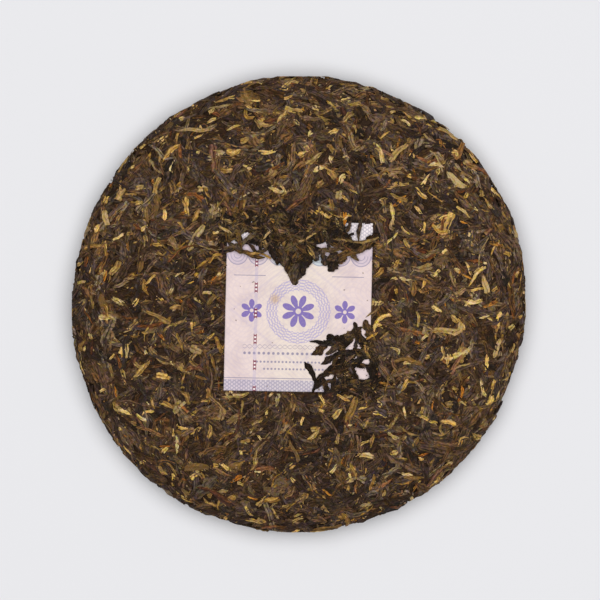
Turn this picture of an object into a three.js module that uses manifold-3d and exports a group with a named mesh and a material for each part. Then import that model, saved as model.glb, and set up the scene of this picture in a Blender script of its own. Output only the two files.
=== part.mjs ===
// A pressed tea cake and the paper slip in its face. Millimetres, +Z up.
// Leaves steamed in a cloth bag were pressed under a stone: the face is a low dome that rolls over a
// blunt rim, and the back is a flat ring round the dimple that the bag's knot left. The cake lies face
// up, and the origin is on the table under its middle. The slip dives under the leaves that were
// pressed over its upper edge and its lower right corner.

import * as THREE from "three";
import { mergeVertices } from "three/addons/utils/BufferGeometryUtils.js";
import Module from "manifold-3d";

// Driving dimensions of the cake.
const CAKE_RADIUS = 99.8;
const CROWN_HEIGHT = 21;
const RIM_HEIGHT = 9.4;
const RELIEF = 0.5; // how far the leaves stand proud of the mass that they are pressed into
const REST_RING = { inner: 31, outer: 76 };
const DIMPLE_DEPTH = 9.5;
const FACE_CURVE = { power: 4.4, round: 0.5 };
const BACK_CURVE = { power: 2.6, round: 0.5 };
const DIMPLE_CURVE = { power: 2.8, round: 1.6 };

// The outline isn't a true circle: [waves round the rim, height in mm, turn in degrees].
const OUTLINE_WAVES = [
  [2, 0.84, -111],
  [4, 0.23, -128],
  [5, 0.25, -136],
  [6, 0.14, -93],
  [8, 0.18, -27],
  [13, 0.12, 109],
];

// The cake is unevenly thick: its height swells by this share in long waves, with a shorter one that
// runs aslant. Wave lengths are mm for each radian.
const SWELL = { share: 0.016, x: 17, y: 23, slantX: 9, slantY: 12, slantShare: 0.6, turns: [1.3, 0.4, 2] };

// The mass between the leaves is rough: its height in mm, and waves in radians for each mm.
const CRAG = { height: 0.3, x: 1.9, y: 1.7, z: 2.3 };

// Driving dimensions of the slip. Its sink is how far it lies under the face.
const SLIP = { width: 63.8, height: 74.3, x: -0.2, y: -1.2, turn: THREE.MathUtils.degToRad(-1.15) };
const SLIP_THICKNESS = 0.2;
const SLIP_GAP = 0.3;
const SLIP_SINK = { open: 0.4, covered: 1.7 };
const UPPER_COVER = { from: 7, run: 15 }; // the slip dives between these heights on the face
const CORNER_COVER = { from: 26, run: 14 }; // and between these distances towards the lower right

// Where the slip shows: the large opening between the leaves, and two small ones.
const OPENINGS = [
  [
    [-33.2, 22.5], [-23, 20.2], [-12, 21.5], [-6.5, 16.5], [-1.8, 12.5], [3.5, 16.8], [9, 20.5],
    [18, 20.4], [27, 21.5], [33, 24.5], [32.2, -9], [25, -10.5], [17, -15], [11.5, -18.5],
    [11.5, -24], [8.5, -30], [6, -40], [-34.5, -40],
  ],
  [[20.8, 36.4], [33.2, 36.4], [33, 26.8], [23.4, 28.9]],
  [[27, -28], [30.6, -29.8], [29.4, -33.2], [26, -31.6]],
];

// Leaves that reach out over the slip: [root x, root y, tip x, tip y, width].
const REACHING_LEAVES = [
  [-0.6, 21, -2.2, 8.3, 4.6],
  [-8.5, 25, -4.6, 13.6, 4.2],
  [4.6, 24, 3.4, 14.8, 4],
  [18.5, 23, 12.4, 14.4, 4.8],
  [18, 24, 25.8, 18.8, 3.2],
  [-28.5, 24.5, -15.5, 19.6, 3],
  [13.5, 28, 34, 27.5, 2.8],
  [28.2, 41, 26.8, 25.5, 2.2],
  [23.5, -14.5, 10.6, -16.2, 5],
  [17.5, -20.5, 5.2, -16.9, 3.2],
  [15.5, -19.5, 5.8, -22.3, 3.4],
  [10.6, -38.5, 3.1, -26.2, 3],
  [30, -15, 24.2, -8.2, 4],
  [31, -14, 28.8, -7.2, 3.6],
];

// Driving dimensions of the leaves that are pressed into the cake.
const LEAF_LENGTH = { least: 11, most: 20 };
const LEAF_WIDTH = { least: 2.6, most: 4.6 };
const LEAF_THICKNESS = 1.9;
const LEAF_SIDES = 4;
const LEAF_OUTLINE = [0, 0.72, 1, 0.66, 0]; // share of its width along a leaf
const LEAF_BEND = 0.035; // most curvature of a leaf in its own plane, per mm
const FACE_LEAVES = { count: 100, seed: 11, from: 2, to: CAKE_RADIUS - 8 };
const BACK_LEAVES = { count: 30, seed: 37, from: REST_RING.inner + 4, to: CAKE_RADIUS - 7 };
const DIMPLE_LEAVES = { count: 5, seed: 41, from: 3, to: REST_RING.inner - 6 };
const SPREAD_SHIFT = 0.15; // most that a spread leaf is turned round the cake from its even place
const RIM_LEAVES = { count: 28, seed: 23, inset: { least: 0.1, most: 1.7 }, shift: 0.4, slope: 0.45 };
const FOOT_LEAF = { x: 53, y: 0, length: 22, width: 6, thickness: 2.4 };
const REACH_LIFT = 0.25; // how far a leaf over the slip is raised
const OPENING_CLEARANCE = 1.2;
const OPENING_TOP = CROWN_HEIGHT + 8;
const TABLE_DEPTH = 10;

const WELD = 1e-3; // vertices nearer than this are one
const TURNS = { cake: 40, slipAcross: 8, slipUp: 9 };
const COARSE_STEPS = { dimple: 4, flank: 5, face: 8 };
const FINE_STEPS = { dimple: 24, flank: 24, face: 60 };
const RIM_CROWDING = 1.15; // above 1, the points of the face crowd towards the rim

const wasm = await Module();
wasm.setup();

// A repeatable stream of numbers from 0 to 1.
function randomStream(seed) {
  let state = seed;
  return () => {
    state = (state + 0x6d2b79f5) | 0;
    let mixed = Math.imul(state ^ (state >>> 15), 1 | state);
    mixed = (mixed + Math.imul(mixed ^ (mixed >>> 7), 61 | mixed)) ^ mixed;
    return ((mixed ^ (mixed >>> 14)) >>> 0) / 4294967296;
  };
}

const between = (low, high, share) => low + (high - low) * share;

function smoothStep(value) {
  const share = THREE.MathUtils.clamp(value, 0, 1);
  return share * share * (3 - 2 * share);
}

// A superelliptic shoulder: 1 in the middle, falling to 0 where share is 1.
const shoulder = (share, { power, round }) => (1 - Math.min(1, share) ** power) ** round;

const faceHeight = (radius) =>
  RIM_HEIGHT + (CROWN_HEIGHT - RIM_HEIGHT) * shoulder(radius / CAKE_RADIUS, FACE_CURVE);

function backHeight(radius) {
  if (radius < REST_RING.inner) {
    return RELIEF + DIMPLE_DEPTH * shoulder(radius / REST_RING.inner, DIMPLE_CURVE);
  }
  const share = Math.max(0, (radius - REST_RING.outer) / (CAKE_RADIUS - REST_RING.outer));
  return RELIEF + (RIM_HEIGHT - RELIEF) * (1 - shoulder(share, BACK_CURVE));
}

// The meridian from the middle of the back round the rim to the crown, as [radius, height] points.
function meridian(steps) {
  const points = [];
  for (let i = 0; i < steps.dimple; i++) {
    const radius = (REST_RING.inner * i) / steps.dimple;
    points.push([radius, backHeight(radius)]);
  }
  points.push([REST_RING.inner, RELIEF]);
  for (let i = 0; i <= steps.flank; i++) {
    const share = Math.sin((Math.PI / 2) * (i / steps.flank));
    const radius = between(REST_RING.outer, CAKE_RADIUS, share);
    points.push([radius, backHeight(radius)]);
  }
  for (let i = 1; i < steps.face; i++) {
    const radius = CAKE_RADIUS * Math.cos((Math.PI / 2) * (i / steps.face) ** RIM_CROWDING);
    points.push([radius, faceHeight(radius)]);
  }
  points.push([0, faceHeight(0)]);
  return points;
}

const FINE_MERIDIAN = meridian(FINE_STEPS);

// The place on the smooth cake nearest to a point, with the outward direction there.
function nearestOnCake(point) {
  const radius = Math.hypot(point.x, point.y);
  let best = { gap: Infinity };
  for (let i = 1; i < FINE_MERIDIAN.length; i++) {
    const [r0, z0] = FINE_MERIDIAN[i - 1];
    const [dr, dz] = [FINE_MERIDIAN[i][0] - r0, FINE_MERIDIAN[i][1] - z0];
    const along = ((radius - r0) * dr + (point.z - z0) * dz) / (dr * dr + dz * dz);
    const share = THREE.MathUtils.clamp(along, 0, 1);
    const [r, z] = [r0 + share * dr, z0 + share * dz];
    const gap = Math.hypot(radius - r, point.z - z);
    if (gap < best.gap) {
      const length = Math.hypot(dr, dz);
      best = { gap, r, z, outR: dz / length, outZ: -dr / length };
    }
  }
  const [cos, sin] = radius > 0 ? [point.x / radius, point.y / radius] : [1, 0];
  return {
    place: new THREE.Vector3(best.r * cos, best.r * sin, best.z),
    out: new THREE.Vector3(best.outR * cos, best.outR * sin, best.outZ),
  };
}

// How much wider the outline is than a circle at an angle, as a share of the radius.
function outlineShare(angle) {
  let sum = 0;
  for (const [waves, height, turn] of OUTLINE_WAVES) {
    sum += height * Math.cos(waves * angle + THREE.MathUtils.degToRad(turn));
  }
  return sum / CAKE_RADIUS;
}

function swellShare(x, y) {
  const [turnX, turnY, turnSlant] = SWELL.turns;
  const long = Math.sin(x / SWELL.x + turnX) * Math.cos(y / SWELL.y + turnY);
  const slanting = Math.sin(x / SWELL.slantX - y / SWELL.slantY + turnSlant);
  return SWELL.share * (long + SWELL.slantShare * slanting);
}

// Takes a point from the true round cake to the uneven one.
function makeUneven(point) {
  const reach = Math.min(1, Math.hypot(point.x, point.y) / CAKE_RADIUS) ** 2;
  const wider = 1 + outlineShare(Math.atan2(point.y, point.x)) * reach;
  const taller = 1 + swellShare(point.x, point.y);
  return point.set(point.x * wider, point.y * wider, point.z * taller);
}

// Moves each vertex of a geometry by a function of its position.
function reshape(geometry, move) {
  const positions = geometry.attributes.position;
  const point = new THREE.Vector3();
  for (let i = 0; i < positions.count; i++) {
    move(point.fromBufferAttribute(positions, i));
    positions.setXYZ(i, point.x, point.y, point.z);
  }
  return geometry;
}

// A closed geometry as a solid, its shared vertices merged and its empty triangles dropped.
function solidFrom(geometry) {
  const bare = new THREE.BufferGeometry().setAttribute("position", geometry.attributes.position);
  if (geometry.index) bare.setIndex(geometry.index);
  const merged = mergeVertices(bare, WELD);
  const corners = merged.index.array;
  const kept = [];
  for (let i = 0; i < corners.length; i += 3) {
    const [a, b, c] = corners.slice(i, i + 3);
    if (a !== b && b !== c && c !== a) kept.push(a, b, c);
  }
  const vertProperties = new Float32Array(merged.attributes.position.array);
  return new wasm.Manifold(new wasm.Mesh({ numProp: 3, vertProperties, triVerts: new Uint32Array(kept) }));
}

function geometryFrom(solid) {
  const { numProp, vertProperties, triVerts } = solid.getMesh();
  const positions = new Float32Array((vertProperties.length / numProp) * 3);
  for (let i = 0; i < positions.length / 3; i++) {
    positions.set(vertProperties.subarray(i * numProp, i * numProp + 3), i * 3);
  }
  const geometry = new THREE.BufferGeometry();
  geometry.setAttribute("position", new THREE.BufferAttribute(positions, 3));
  geometry.setIndex(new THREE.BufferAttribute(triVerts, 1));
  geometry.computeVertexNormals();
  return geometry;
}

// The mass of the cake, turned from the meridian and roughened off its rest ring.
function coreSolid() {
  const points = meridian(COARSE_STEPS).map(([radius, height]) => new THREE.Vector2(radius, height));
  const turned = new THREE.LatheGeometry(points, TURNS.cake).rotateX(Math.PI / 2);
  return solidFrom(
    reshape(turned, (point) => {
      const crag = Math.sin(point.x * CRAG.x + point.z) * Math.sin(point.y * CRAG.y - point.z * CRAG.z);
      if (point.z > RELIEF + WELD) {
        const { out } = nearestOnCake(point);
        point.addScaledVector(out, CRAG.height * crag);
      }
      makeUneven(point);
    }),
  );
}

// One leaf: a four-sided spindle with pointed ends, bent in its plane, flattened, and laid on the cake
// so that half of its thickness stands out. lift raises it along the outward direction.
function leafSolid({ centre, heading, length, width, thickness, bend = 0, lift = 0 }) {
  const lastStation = LEAF_OUTLINE.length - 1;
  const profile = LEAF_OUTLINE.map((wide, i) => new THREE.Vector2(wide / 2, i / lastStation - 0.5));
  const spindle = new THREE.LatheGeometry(profile, LEAF_SIDES);
  const { out: up } = nearestOnCake(centre);
  const along = heading.clone().addScaledVector(up, -heading.dot(up)).normalize();
  const across = new THREE.Vector3().crossVectors(along, up);
  return solidFrom(
    reshape(spindle, (point) => {
      const [run, side, height] = [point.y * length, point.x * width, point.z * thickness];
      const sweep = bend * (run * run - (length * length) / 12);
      const spot = centre.clone().addScaledVector(along, run).addScaledVector(across, side + sweep);
      const { place, out } = nearestOnCake(spot);
      point.copy(place).addScaledVector(out, height + lift);
      makeUneven(point);
    }),
  );
}

// The largest body of a solid, once its slivers are welded shut: loose scraps are dropped, and hollows
// that the leaves sealed are filled.
function largestBody(solid) {
  const bodies = solidFrom(geometryFrom(solid)).decompose();
  return bodies.reduce((most, body) => (body.volume() > most.volume() ? body : most));
}

const inside = (outline, x, y) => {
  let within = false;
  for (let i = 0, j = outline.length - 1; i < outline.length; j = i++) {
    const [[xi, yi], [xj, yj]] = [outline[i], outline[j]];
    if (yi > y !== yj > y && x < ((xj - xi) * (y - yi)) / (yj - yi) + xi) within = !within;
  }
  return within;
};

// True where a leaf of this length and heading would reach into an opening over the slip.
function crossesOpening(centre, heading, length, width) {
  const side = width / 2 + OPENING_CLEARANCE;
  for (const share of [-0.5, -0.25, 0, 0.25, 0.5]) {
    const [x, y] = [centre.x + heading.x * length * share, centre.y + heading.y * length * share];
    const edges = [[0, 0], [side, 0], [-side, 0], [0, side], [0, -side]];
    if (OPENINGS.some((outline) => edges.some(([dx, dy]) => inside(outline, x + dx, y + dy)))) return true;
  }
  return false;
}

function drawnLeaf(random, centre, heading) {
  const share = random();
  const length = between(LEAF_LENGTH.least, LEAF_LENGTH.most, share);
  const width = between(LEAF_WIDTH.least, LEAF_WIDTH.most, random());
  const bend = between(-LEAF_BEND, LEAF_BEND, random()) * (LEAF_LENGTH.least / length);
  return { centre, heading, length, width, thickness: LEAF_THICKNESS, bend };
}

const headingAt = (angle) => new THREE.Vector3(Math.cos(angle), Math.sin(angle), 0);

// Leaves spread evenly over a disc or ring, each a golden angle round from the last.
function spreadLeaves({ count, seed, from, to }, heightAt) {
  const random = randomStream(seed);
  const leaves = [];
  for (let i = 0; i < count; i++) {
    const radius = Math.sqrt(between(from ** 2, to ** 2, (i + 0.5) / count));
    const angle = i * Math.PI * (3 - Math.sqrt(5)) + SPREAD_SHIFT * random();
    const centre = new THREE.Vector3(radius * Math.cos(angle), radius * Math.sin(angle), heightAt(radius));
    leaves.push(drawnLeaf(random, centre, headingAt(2 * Math.PI * random())));
  }
  return leaves;
}

function faceLeaves() {
  return spreadLeaves(FACE_LEAVES, faceHeight).filter(
    ({ centre, heading, length, width }) => !crossesOpening(centre, heading, length, width),
  );
}

// Leaves round the rim, in two courses, that mostly lie along it.
function rimLeaves() {
  const random = randomStream(RIM_LEAVES.seed);
  return Array.from({ length: RIM_LEAVES.count }, (_, i) => {
    const angle = (2 * Math.PI * (i + RIM_LEAVES.shift * random())) / RIM_LEAVES.count;
    const radius = CAKE_RADIUS - between(RIM_LEAVES.inset.least, RIM_LEAVES.inset.most, random());
    const height = i % 2 ? faceHeight(radius) : backHeight(radius);
    const centre = new THREE.Vector3(radius * Math.cos(angle), radius * Math.sin(angle), height);
    const slope = between(-RIM_LEAVES.slope, RIM_LEAVES.slope, random());
    const heading = headingAt(angle + Math.PI / 2).setZ(slope);
    return drawnLeaf(random, centre, heading);
  });
}

// The broad leaf on the back whose flattened side is the named place to rest on.
function footLeaf() {
  const centre = new THREE.Vector3(FOOT_LEAF.x, FOOT_LEAF.y, RELIEF);
  return { centre, heading: headingAt(Math.PI / 2), ...FOOT_LEAF };
}

// Leaves that start among the others and end over the slip.
function reachingLeaves() {
  return REACHING_LEAVES.map(([rootX, rootY, tipX, tipY, width]) => {
    const run = new THREE.Vector3(tipX - rootX, tipY - rootY, 0);
    const [x, y] = [(rootX + tipX) / 2, (rootY + tipY) / 2];
    const centre = new THREE.Vector3(x, y, faceHeight(Math.hypot(x, y)));
    const heading = run.clone().normalize();
    return { centre, heading, length: run.length(), width, thickness: LEAF_THICKNESS, lift: REACH_LIFT };
  });
}

// How far under the face the slip lies: least where it shows, most under the leaves that cover it.
function slipSink(x, y) {
  const upper = smoothStep((y - UPPER_COVER.from) / UPPER_COVER.run);
  const corner = smoothStep(((x - y) * Math.SQRT1_2 - CORNER_COVER.from) / CORNER_COVER.run);
  return between(SLIP_SINK.open, SLIP_SINK.covered, Math.max(upper, corner));
}

const slipHeight = (x, y) => faceHeight(Math.hypot(x, y)) - slipSink(x, y);

// A sheet that follows the slip, margin wider all round, from low to high about the slip's middle.
function slipSheet(margin, low, high) {
  const [width, height] = [SLIP.width + 2 * margin, SLIP.height + 2 * margin];
  const sheet = new THREE.BoxGeometry(width, height, 2, TURNS.slipAcross, TURNS.slipUp, 1);
  sheet.rotateZ(SLIP.turn).translate(SLIP.x, SLIP.y, 0);
  return reshape(sheet, (point) => {
    const side = point.z > 0 ? high : low;
    point.z = slipHeight(point.x, point.y);
    makeUneven(point);
    point.z += side;
  });
}

// The space over the slip that one opening leaves between the leaves.
function openingSolid(outline) {
  const shape = new THREE.Shape(outline.map(([x, y]) => new THREE.Vector2(x, y)));
  const shaft = new THREE.ExtrudeGeometry(shape, { depth: 1, bevelEnabled: false });
  return solidFrom(
    reshape(shaft, (point) => {
      const slip = slipHeight(point.x, point.y) * (1 + swellShare(point.x, point.y));
      point.z = point.z > 0.5 ? OPENING_TOP : slip;
    }),
  );
}

// What lies under the table's surface is cut away, so that the leaves of the back are pressed flat.
function tableSolid() {
  const slab = new THREE.BoxGeometry(3 * CAKE_RADIUS, 3 * CAKE_RADIUS, TABLE_DEPTH);
  return solidFrom(slab.translate(0, 0, -TABLE_DEPTH / 2));
}

function cakeSolid() {
  const backLeaves = spreadLeaves(BACK_LEAVES, backHeight);
  const dimpleLeaves = spreadLeaves(DIMPLE_LEAVES, backHeight);
  const pressed = [...faceLeaves(), ...rimLeaves(), ...backLeaves, ...dimpleLeaves, footLeaf()];
  let cake = coreSolid();
  for (const leaf of pressed) cake = cake.add(leafSolid(leaf));
  for (const outline of OPENINGS) cake = cake.subtract(openingSolid(outline));
  for (const leaf of reachingLeaves()) cake = cake.add(leafSolid(leaf));
  const half = SLIP_THICKNESS / 2;
  cake = cake.subtract(solidFrom(slipSheet(SLIP_GAP, -half - SLIP_GAP, half + SLIP_GAP)));
  return largestBody(cake.subtract(tableSolid()));
}

function namedMesh(name, geometry, color, roughness) {
  const mesh = new THREE.Mesh(geometry, new THREE.MeshStandardMaterial({ color, roughness, metalness: 0 }));
  mesh.name = name;
  return mesh;
}

const group = new THREE.Group();
group.add(namedMesh("tea_cake", geometryFrom(cakeSolid()), 0x55422f, 0.75));
group.add(namedMesh("paper_slip", slipSheet(0, -SLIP_THICKNESS / 2, SLIP_THICKNESS / 2), 0xf0e0db, 0.85));

export default group;
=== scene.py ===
"""A pressed tea cake with a printed paper slip in its face.

Thousands of closed leaf strips lie in layers round a dark mass, as the leaves of a real cake do, and are
pressed level with one smooth form. A thin sheet lies among them, under the leaves that reach over it.
Shapes are worked out in millimetres, +Z up from the table, and become metres where a mesh is written.
"""

import logging
import math
from dataclasses import dataclass, field, replace
from enum import Enum
from functools import cached_property

import bpy
import numpy as np
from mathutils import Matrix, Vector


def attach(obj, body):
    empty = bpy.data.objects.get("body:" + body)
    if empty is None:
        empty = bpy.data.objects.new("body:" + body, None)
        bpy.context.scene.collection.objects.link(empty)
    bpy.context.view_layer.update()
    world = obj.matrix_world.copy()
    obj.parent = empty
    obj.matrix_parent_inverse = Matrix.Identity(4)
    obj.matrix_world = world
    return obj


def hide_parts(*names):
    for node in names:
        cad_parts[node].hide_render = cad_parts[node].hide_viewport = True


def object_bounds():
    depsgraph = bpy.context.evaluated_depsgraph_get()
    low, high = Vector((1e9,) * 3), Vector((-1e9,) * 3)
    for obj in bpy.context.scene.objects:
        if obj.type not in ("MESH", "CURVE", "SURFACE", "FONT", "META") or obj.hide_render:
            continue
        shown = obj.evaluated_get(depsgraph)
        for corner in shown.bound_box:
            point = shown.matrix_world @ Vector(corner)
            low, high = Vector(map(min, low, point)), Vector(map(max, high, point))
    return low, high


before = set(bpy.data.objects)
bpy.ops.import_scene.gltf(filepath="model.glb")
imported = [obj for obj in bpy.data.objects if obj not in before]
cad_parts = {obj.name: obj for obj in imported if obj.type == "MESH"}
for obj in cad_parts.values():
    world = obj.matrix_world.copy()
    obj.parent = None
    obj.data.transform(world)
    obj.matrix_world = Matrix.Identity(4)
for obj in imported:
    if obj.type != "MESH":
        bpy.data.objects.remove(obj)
CAD_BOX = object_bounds()

LOG = logging.getLogger("tea_cake")
MM = 0.001
LOWEST, HIGHEST = (np.array(corner) / MM for corner in CAD_BOX)
GOLDEN_ANGLE = math.pi * (3 - math.sqrt(5))
NO_LENGTH = 1e-9
ON_AXIS = 1e-6
RIPPLE_WAVES = 8
RIPPLE_SPREAD = 1.5
CORE_SEED, SLIP_SEED, CLOUD_SEED, PATCH_SEED, RIM_SEED, FIRST_SORT_SEED = 5, 17, 71, 72, 73, 101

# Places of the Mix node's sockets: two inputs and the result for colours, then the same for vectors.
COLOUR_A, COLOUR_B, COLOUR_RESULT = 6, 7, 2
VECTOR_A, VECTOR_B, VECTOR_RESULT = 4, 5, 1

Array = np.ndarray
Colour = tuple[int, int, int]
Pair = tuple[float, float]
Triple = tuple[float, float, float]


def smooth_step(value: Array, start: float = 0.0, width: float = 1.0) -> Array:
    """The cubic 3 v^2 - 2 v^3 of the share v of a zone that value has passed, which has no kinks."""
    share = np.clip((value - start) / width, 0, 1)
    return share * share * (3 - 2 * share)


def unit(vectors: Array) -> Array:
    """Vectors along the last axis divided by their lengths."""
    return vectors / np.maximum(np.linalg.norm(vectors, axis=-1, keepdims=True), NO_LENGTH)


def ripples(points: Array, seed: int, size: float, octaves: int = 3) -> Array:
    """Rough relief: sine waves in random directions, each octave half as long and half as high.

    Args:
        points: places in mm, one row each.
        seed: what the directions are drawn from.
        size: length of the longest waves in mm.
        octaves: how many sets of waves there are.

    Returns:
        Heights of about -1 to 1, one for each place.
    """
    rng = np.random.default_rng(seed)
    height = np.zeros(len(points))
    for octave in range(octaves):
        directions = unit(rng.normal(size=(RIPPLE_WAVES, 3))) * (2 * math.pi * 2**octave / size)
        waves = np.sin(points @ directions.T + rng.uniform(0, 2 * math.pi, RIPPLE_WAVES))
        height += waves.sum(axis=1) / (RIPPLE_WAVES / 2 * 2**octave)
    return height / RIPPLE_SPREAD


@dataclass
class MeshArrays:
    """The arrays of one mesh: places in mm, faces as runs of corners, and what its material reads."""

    places: Array
    corners: Array
    sizes: Array
    uv: Array
    marks: dict[str, Array] = field(default_factory=dict)

    def make(
        self, name: str, material: bpy.types.Material, slot: str, node: str, smooth: bool = True
    ) -> bpy.types.Object:
        """Writes the arrays into a mesh object that stands for a node of the frame.

        Args:
            name: the piece's name.
            material: its finish.
            slot: the name of the record's material slot; not used.
            node: the node that it replaces.
            smooth: whether its faces are shaded as one smooth surface.

        Returns:
            The object, riding on the root body.
        """
        mesh = bpy.data.meshes.new(name)
        mesh.vertices.add(len(self.places))
        mesh.vertices.foreach_set("co", (self.places * MM).astype(np.float32).ravel())
        mesh.loops.add(len(self.corners))
        mesh.loops.foreach_set("vertex_index", self.corners.astype(np.int32))
        mesh.polygons.add(len(self.sizes))
        starts = np.concatenate([[0], np.cumsum(self.sizes)[:-1]])
        mesh.polygons.foreach_set("loop_start", starts.astype(np.int32))
        mesh.polygons.foreach_set("use_smooth", np.full(len(self.sizes), smooth))
        layer = mesh.uv_layers.new(name="along")
        layer.data.foreach_set("uv", self.uv.astype(np.float32).ravel())
        for mark, values in self.marks.items():
            attribute = mesh.attributes.new(mark, "FLOAT", "POINT")
            attribute.data.foreach_set("value", values.astype(np.float32))
        mesh.update(calc_edges=True)
        mesh.validate()
        mesh.materials.append(material)
        piece = bpy.data.objects.new(name, mesh)
        bpy.context.scene.collection.objects.link(piece)
        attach(piece, "root")
        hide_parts(node)
        triangles = int((self.sizes - 2).sum())
        LOG.info("%s: %d faces, %d triangles", name, len(self.sizes), triangles)
        return piece


class Value:
    """A socket of a material's tree that is used in sums like a number."""

    def __init__(self, graph: "Graph", socket: bpy.types.NodeSocket) -> None:
        """Keeps the socket and the tree that it is in."""
        self.graph = graph
        self.socket = socket

    def math(self, operation: str, *terms: "Value | float") -> "Value":
        """The result of one Math node, with its inputs in order."""
        return self.graph.node("ShaderNodeMath", {"operation": operation}, dict(enumerate(terms)))

    def __add__(self, other: "Value | float") -> "Value":
        """The sum."""
        return self.math("ADD", self, other)

    def __sub__(self, other: "Value | float") -> "Value":
        """The difference."""
        return self.math("SUBTRACT", self, other)

    def __rsub__(self, other: float) -> "Value":
        """The difference from a number."""
        return self.math("SUBTRACT", other, self)

    def __mul__(self, other: "Value | float") -> "Value":
        """The product."""
        return self.math("MULTIPLY", self, other)

    def __pow__(self, other: "Value | float") -> "Value":
        """The power."""
        return self.math("POWER", self, other)

    __radd__ = __add__
    __rmul__ = __mul__

    def sine(self) -> "Value":
        """The sine of an angle in radians."""
        return self.math("SINE", self)

    def size(self) -> "Value":
        """The value without its sign."""
        return self.math("ABSOLUTE", self)

    def least(self, other: "Value | float") -> "Value":
        """The smaller of two values."""
        return self.math("MINIMUM", self, other)

    def most(self, other: "Value | float") -> "Value":
        """The larger of two values."""
        return self.math("MAXIMUM", self, other)

    def folded(self, period: float) -> "Value":
        """The distance to the nearest whole multiple of a period."""
        return self.math("PINGPONG", self, period / 2)

    def below(self, edge: "Value | float", soft: float) -> "Value":
        """A mask that is 1 well below an edge and 0 well above it.

        Args:
            edge: where the mask is a half.
            soft: how wide its change is.

        Returns:
            The mask.
        """
        settings = {"interpolation_type": "SMOOTHSTEP"}
        zone = {"From Min": -soft / 2, "From Max": soft / 2, "To Min": 1.0, "To Max": 0.0}
        return self.graph.node("ShaderNodeMapRange", settings, {"Value": self - edge, **zone})

    def line(self, half_width: float, soft: float) -> "Value":
        """A mask that is 1 in a line where the value is near 0."""
        return self.size().below(half_width, soft)


class Graph:
    """The node tree of one material, added to by expressions."""

    def __init__(self, name: str) -> None:
        """Starts a material whose tree is empty.

        Args:
            name: the material's name.
        """
        self.material = bpy.data.materials.new(name)
        self.material.use_nodes = True
        self.tree = self.material.node_tree
        self.tree.nodes.clear()

    def node(
        self,
        kind: str,
        settings: dict[str, object] | None = None,
        inputs: dict[int | str, object] | None = None,
        output: int | str = 0,
    ) -> Value:
        """Adds a node of any type.

        Args:
            kind: the node's type.
            settings: its properties, set first; stops are the (place, colour) pairs of a ramp.
            inputs: numbers, colours or values for its sockets, by name or place.
            output: which of its outputs is wanted.

        Returns:
            The output that was asked for.
        """
        made = self.tree.nodes.new(kind)
        for key, setting in (settings or {}).items():
            if key == "stops":
                self._set_stops(made.color_ramp, setting)
            else:
                setattr(made, key, setting)
        for key, given in (inputs or {}).items():
            if isinstance(given, Value):
                self.tree.links.new(given.socket, made.inputs[key])
            else:
                made.inputs[key].default_value = given
        return Value(self, made.outputs[output])

    @staticmethod
    def _set_stops(ramp: bpy.types.ColorRamp, stops: list[tuple[float, Colour]]) -> None:
        """Gives a ramp its stops.

        Args:
            ramp: the ramp, with its two stops from new.
            stops: places from 0 to 1 with their sRGB colours, in order.
        """
        for place, _ in stops[1:-1]:
            ramp.elements.new(place)
        for element, (place, colour) in zip(ramp.elements, stops):
            element.position = place
            element.color = linear(colour)

    def mix(self, first: object, second: object, share: Value | float, blend: str = "MIX") -> Value:
        """Mixes two colours.

        Args:
            first: the colour where share is 0.
            second: the colour where share is 1.
            share: how much of the second.
            blend: the way of mixing.

        Returns:
            The mixed colour.
        """
        settings = {"data_type": "RGBA", "blend_type": blend}
        inputs = {0: share, COLOUR_A: first, COLOUR_B: second}
        given = {key: linear(part) if isinstance(part, tuple) else part for key, part in inputs.items()}
        return self.node("ShaderNodeMix", settings, given, COLOUR_RESULT)

    def noise(self, place: Value, scale: float, detail: float = 2.0, roughness: float = 0.5) -> Value:
        """Noise from 0 to 1 with scale lumps for each unit of place, and detail finer layers over them."""
        inputs = {"Vector": place, "Scale": scale, "Detail": detail, "Roughness": roughness}
        return self.node("ShaderNodeTexNoise", None, inputs)

    def scaled(self, place: Value, factors: Triple) -> Value:
        """Coordinates stretched along each axis by its factor."""
        return self.node("ShaderNodeVectorMath", {"operation": "MULTIPLY"}, {0: place, 1: factors})

    def uv(self) -> Value:
        """The piece's own UV map, which is in mm."""
        return self.node("ShaderNodeUVMap", {"uv_map": "along"})

    def place(self) -> Value:
        """Object coordinates in mm."""
        coordinates = self.node("ShaderNodeTexCoord", None, None, "Object")
        return self.scaled(coordinates, (1 / MM, 1 / MM, 1 / MM))

    def mark(self, name: str) -> Value:
        """A number that each vertex of the piece carries."""
        return self.node("ShaderNodeAttribute", {"attribute_name": name}, None, "Fac")

    def bump(self, height: Value, depth: float) -> Value:
        """A bumped normal, with depth in mm between height 0 and 1."""
        return self.node("ShaderNodeBump", None, {"Height": height, "Distance": depth * MM})

    def finish(self, sockets: dict[str, object]) -> bpy.types.Material:
        """Adds the surface shader and the output.

        Args:
            sockets: numbers or values for the shader's own sockets.

        Returns:
            The finished material.
        """
        surface = self.node("ShaderNodeBsdfPrincipled", None, sockets)
        self.node_output(surface)
        return self.material

    def node_output(self, surface: Value) -> None:
        """Links a shader to the material's output."""
        output = self.tree.nodes.new("ShaderNodeOutputMaterial")
        self.tree.links.new(surface.socket, output.inputs["Surface"])


def linear(colour: Colour) -> tuple[float, float, float, float]:
    """The linear colour, with an alpha of 1, of an sRGB one: a straight foot, then a power of 2.4."""
    shares = [part / 255 for part in colour]
    return (*(part / 12.92 if part <= 0.04045 else ((part + 0.055) / 1.055) ** 2.4 for part in shares), 1.0)


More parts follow.
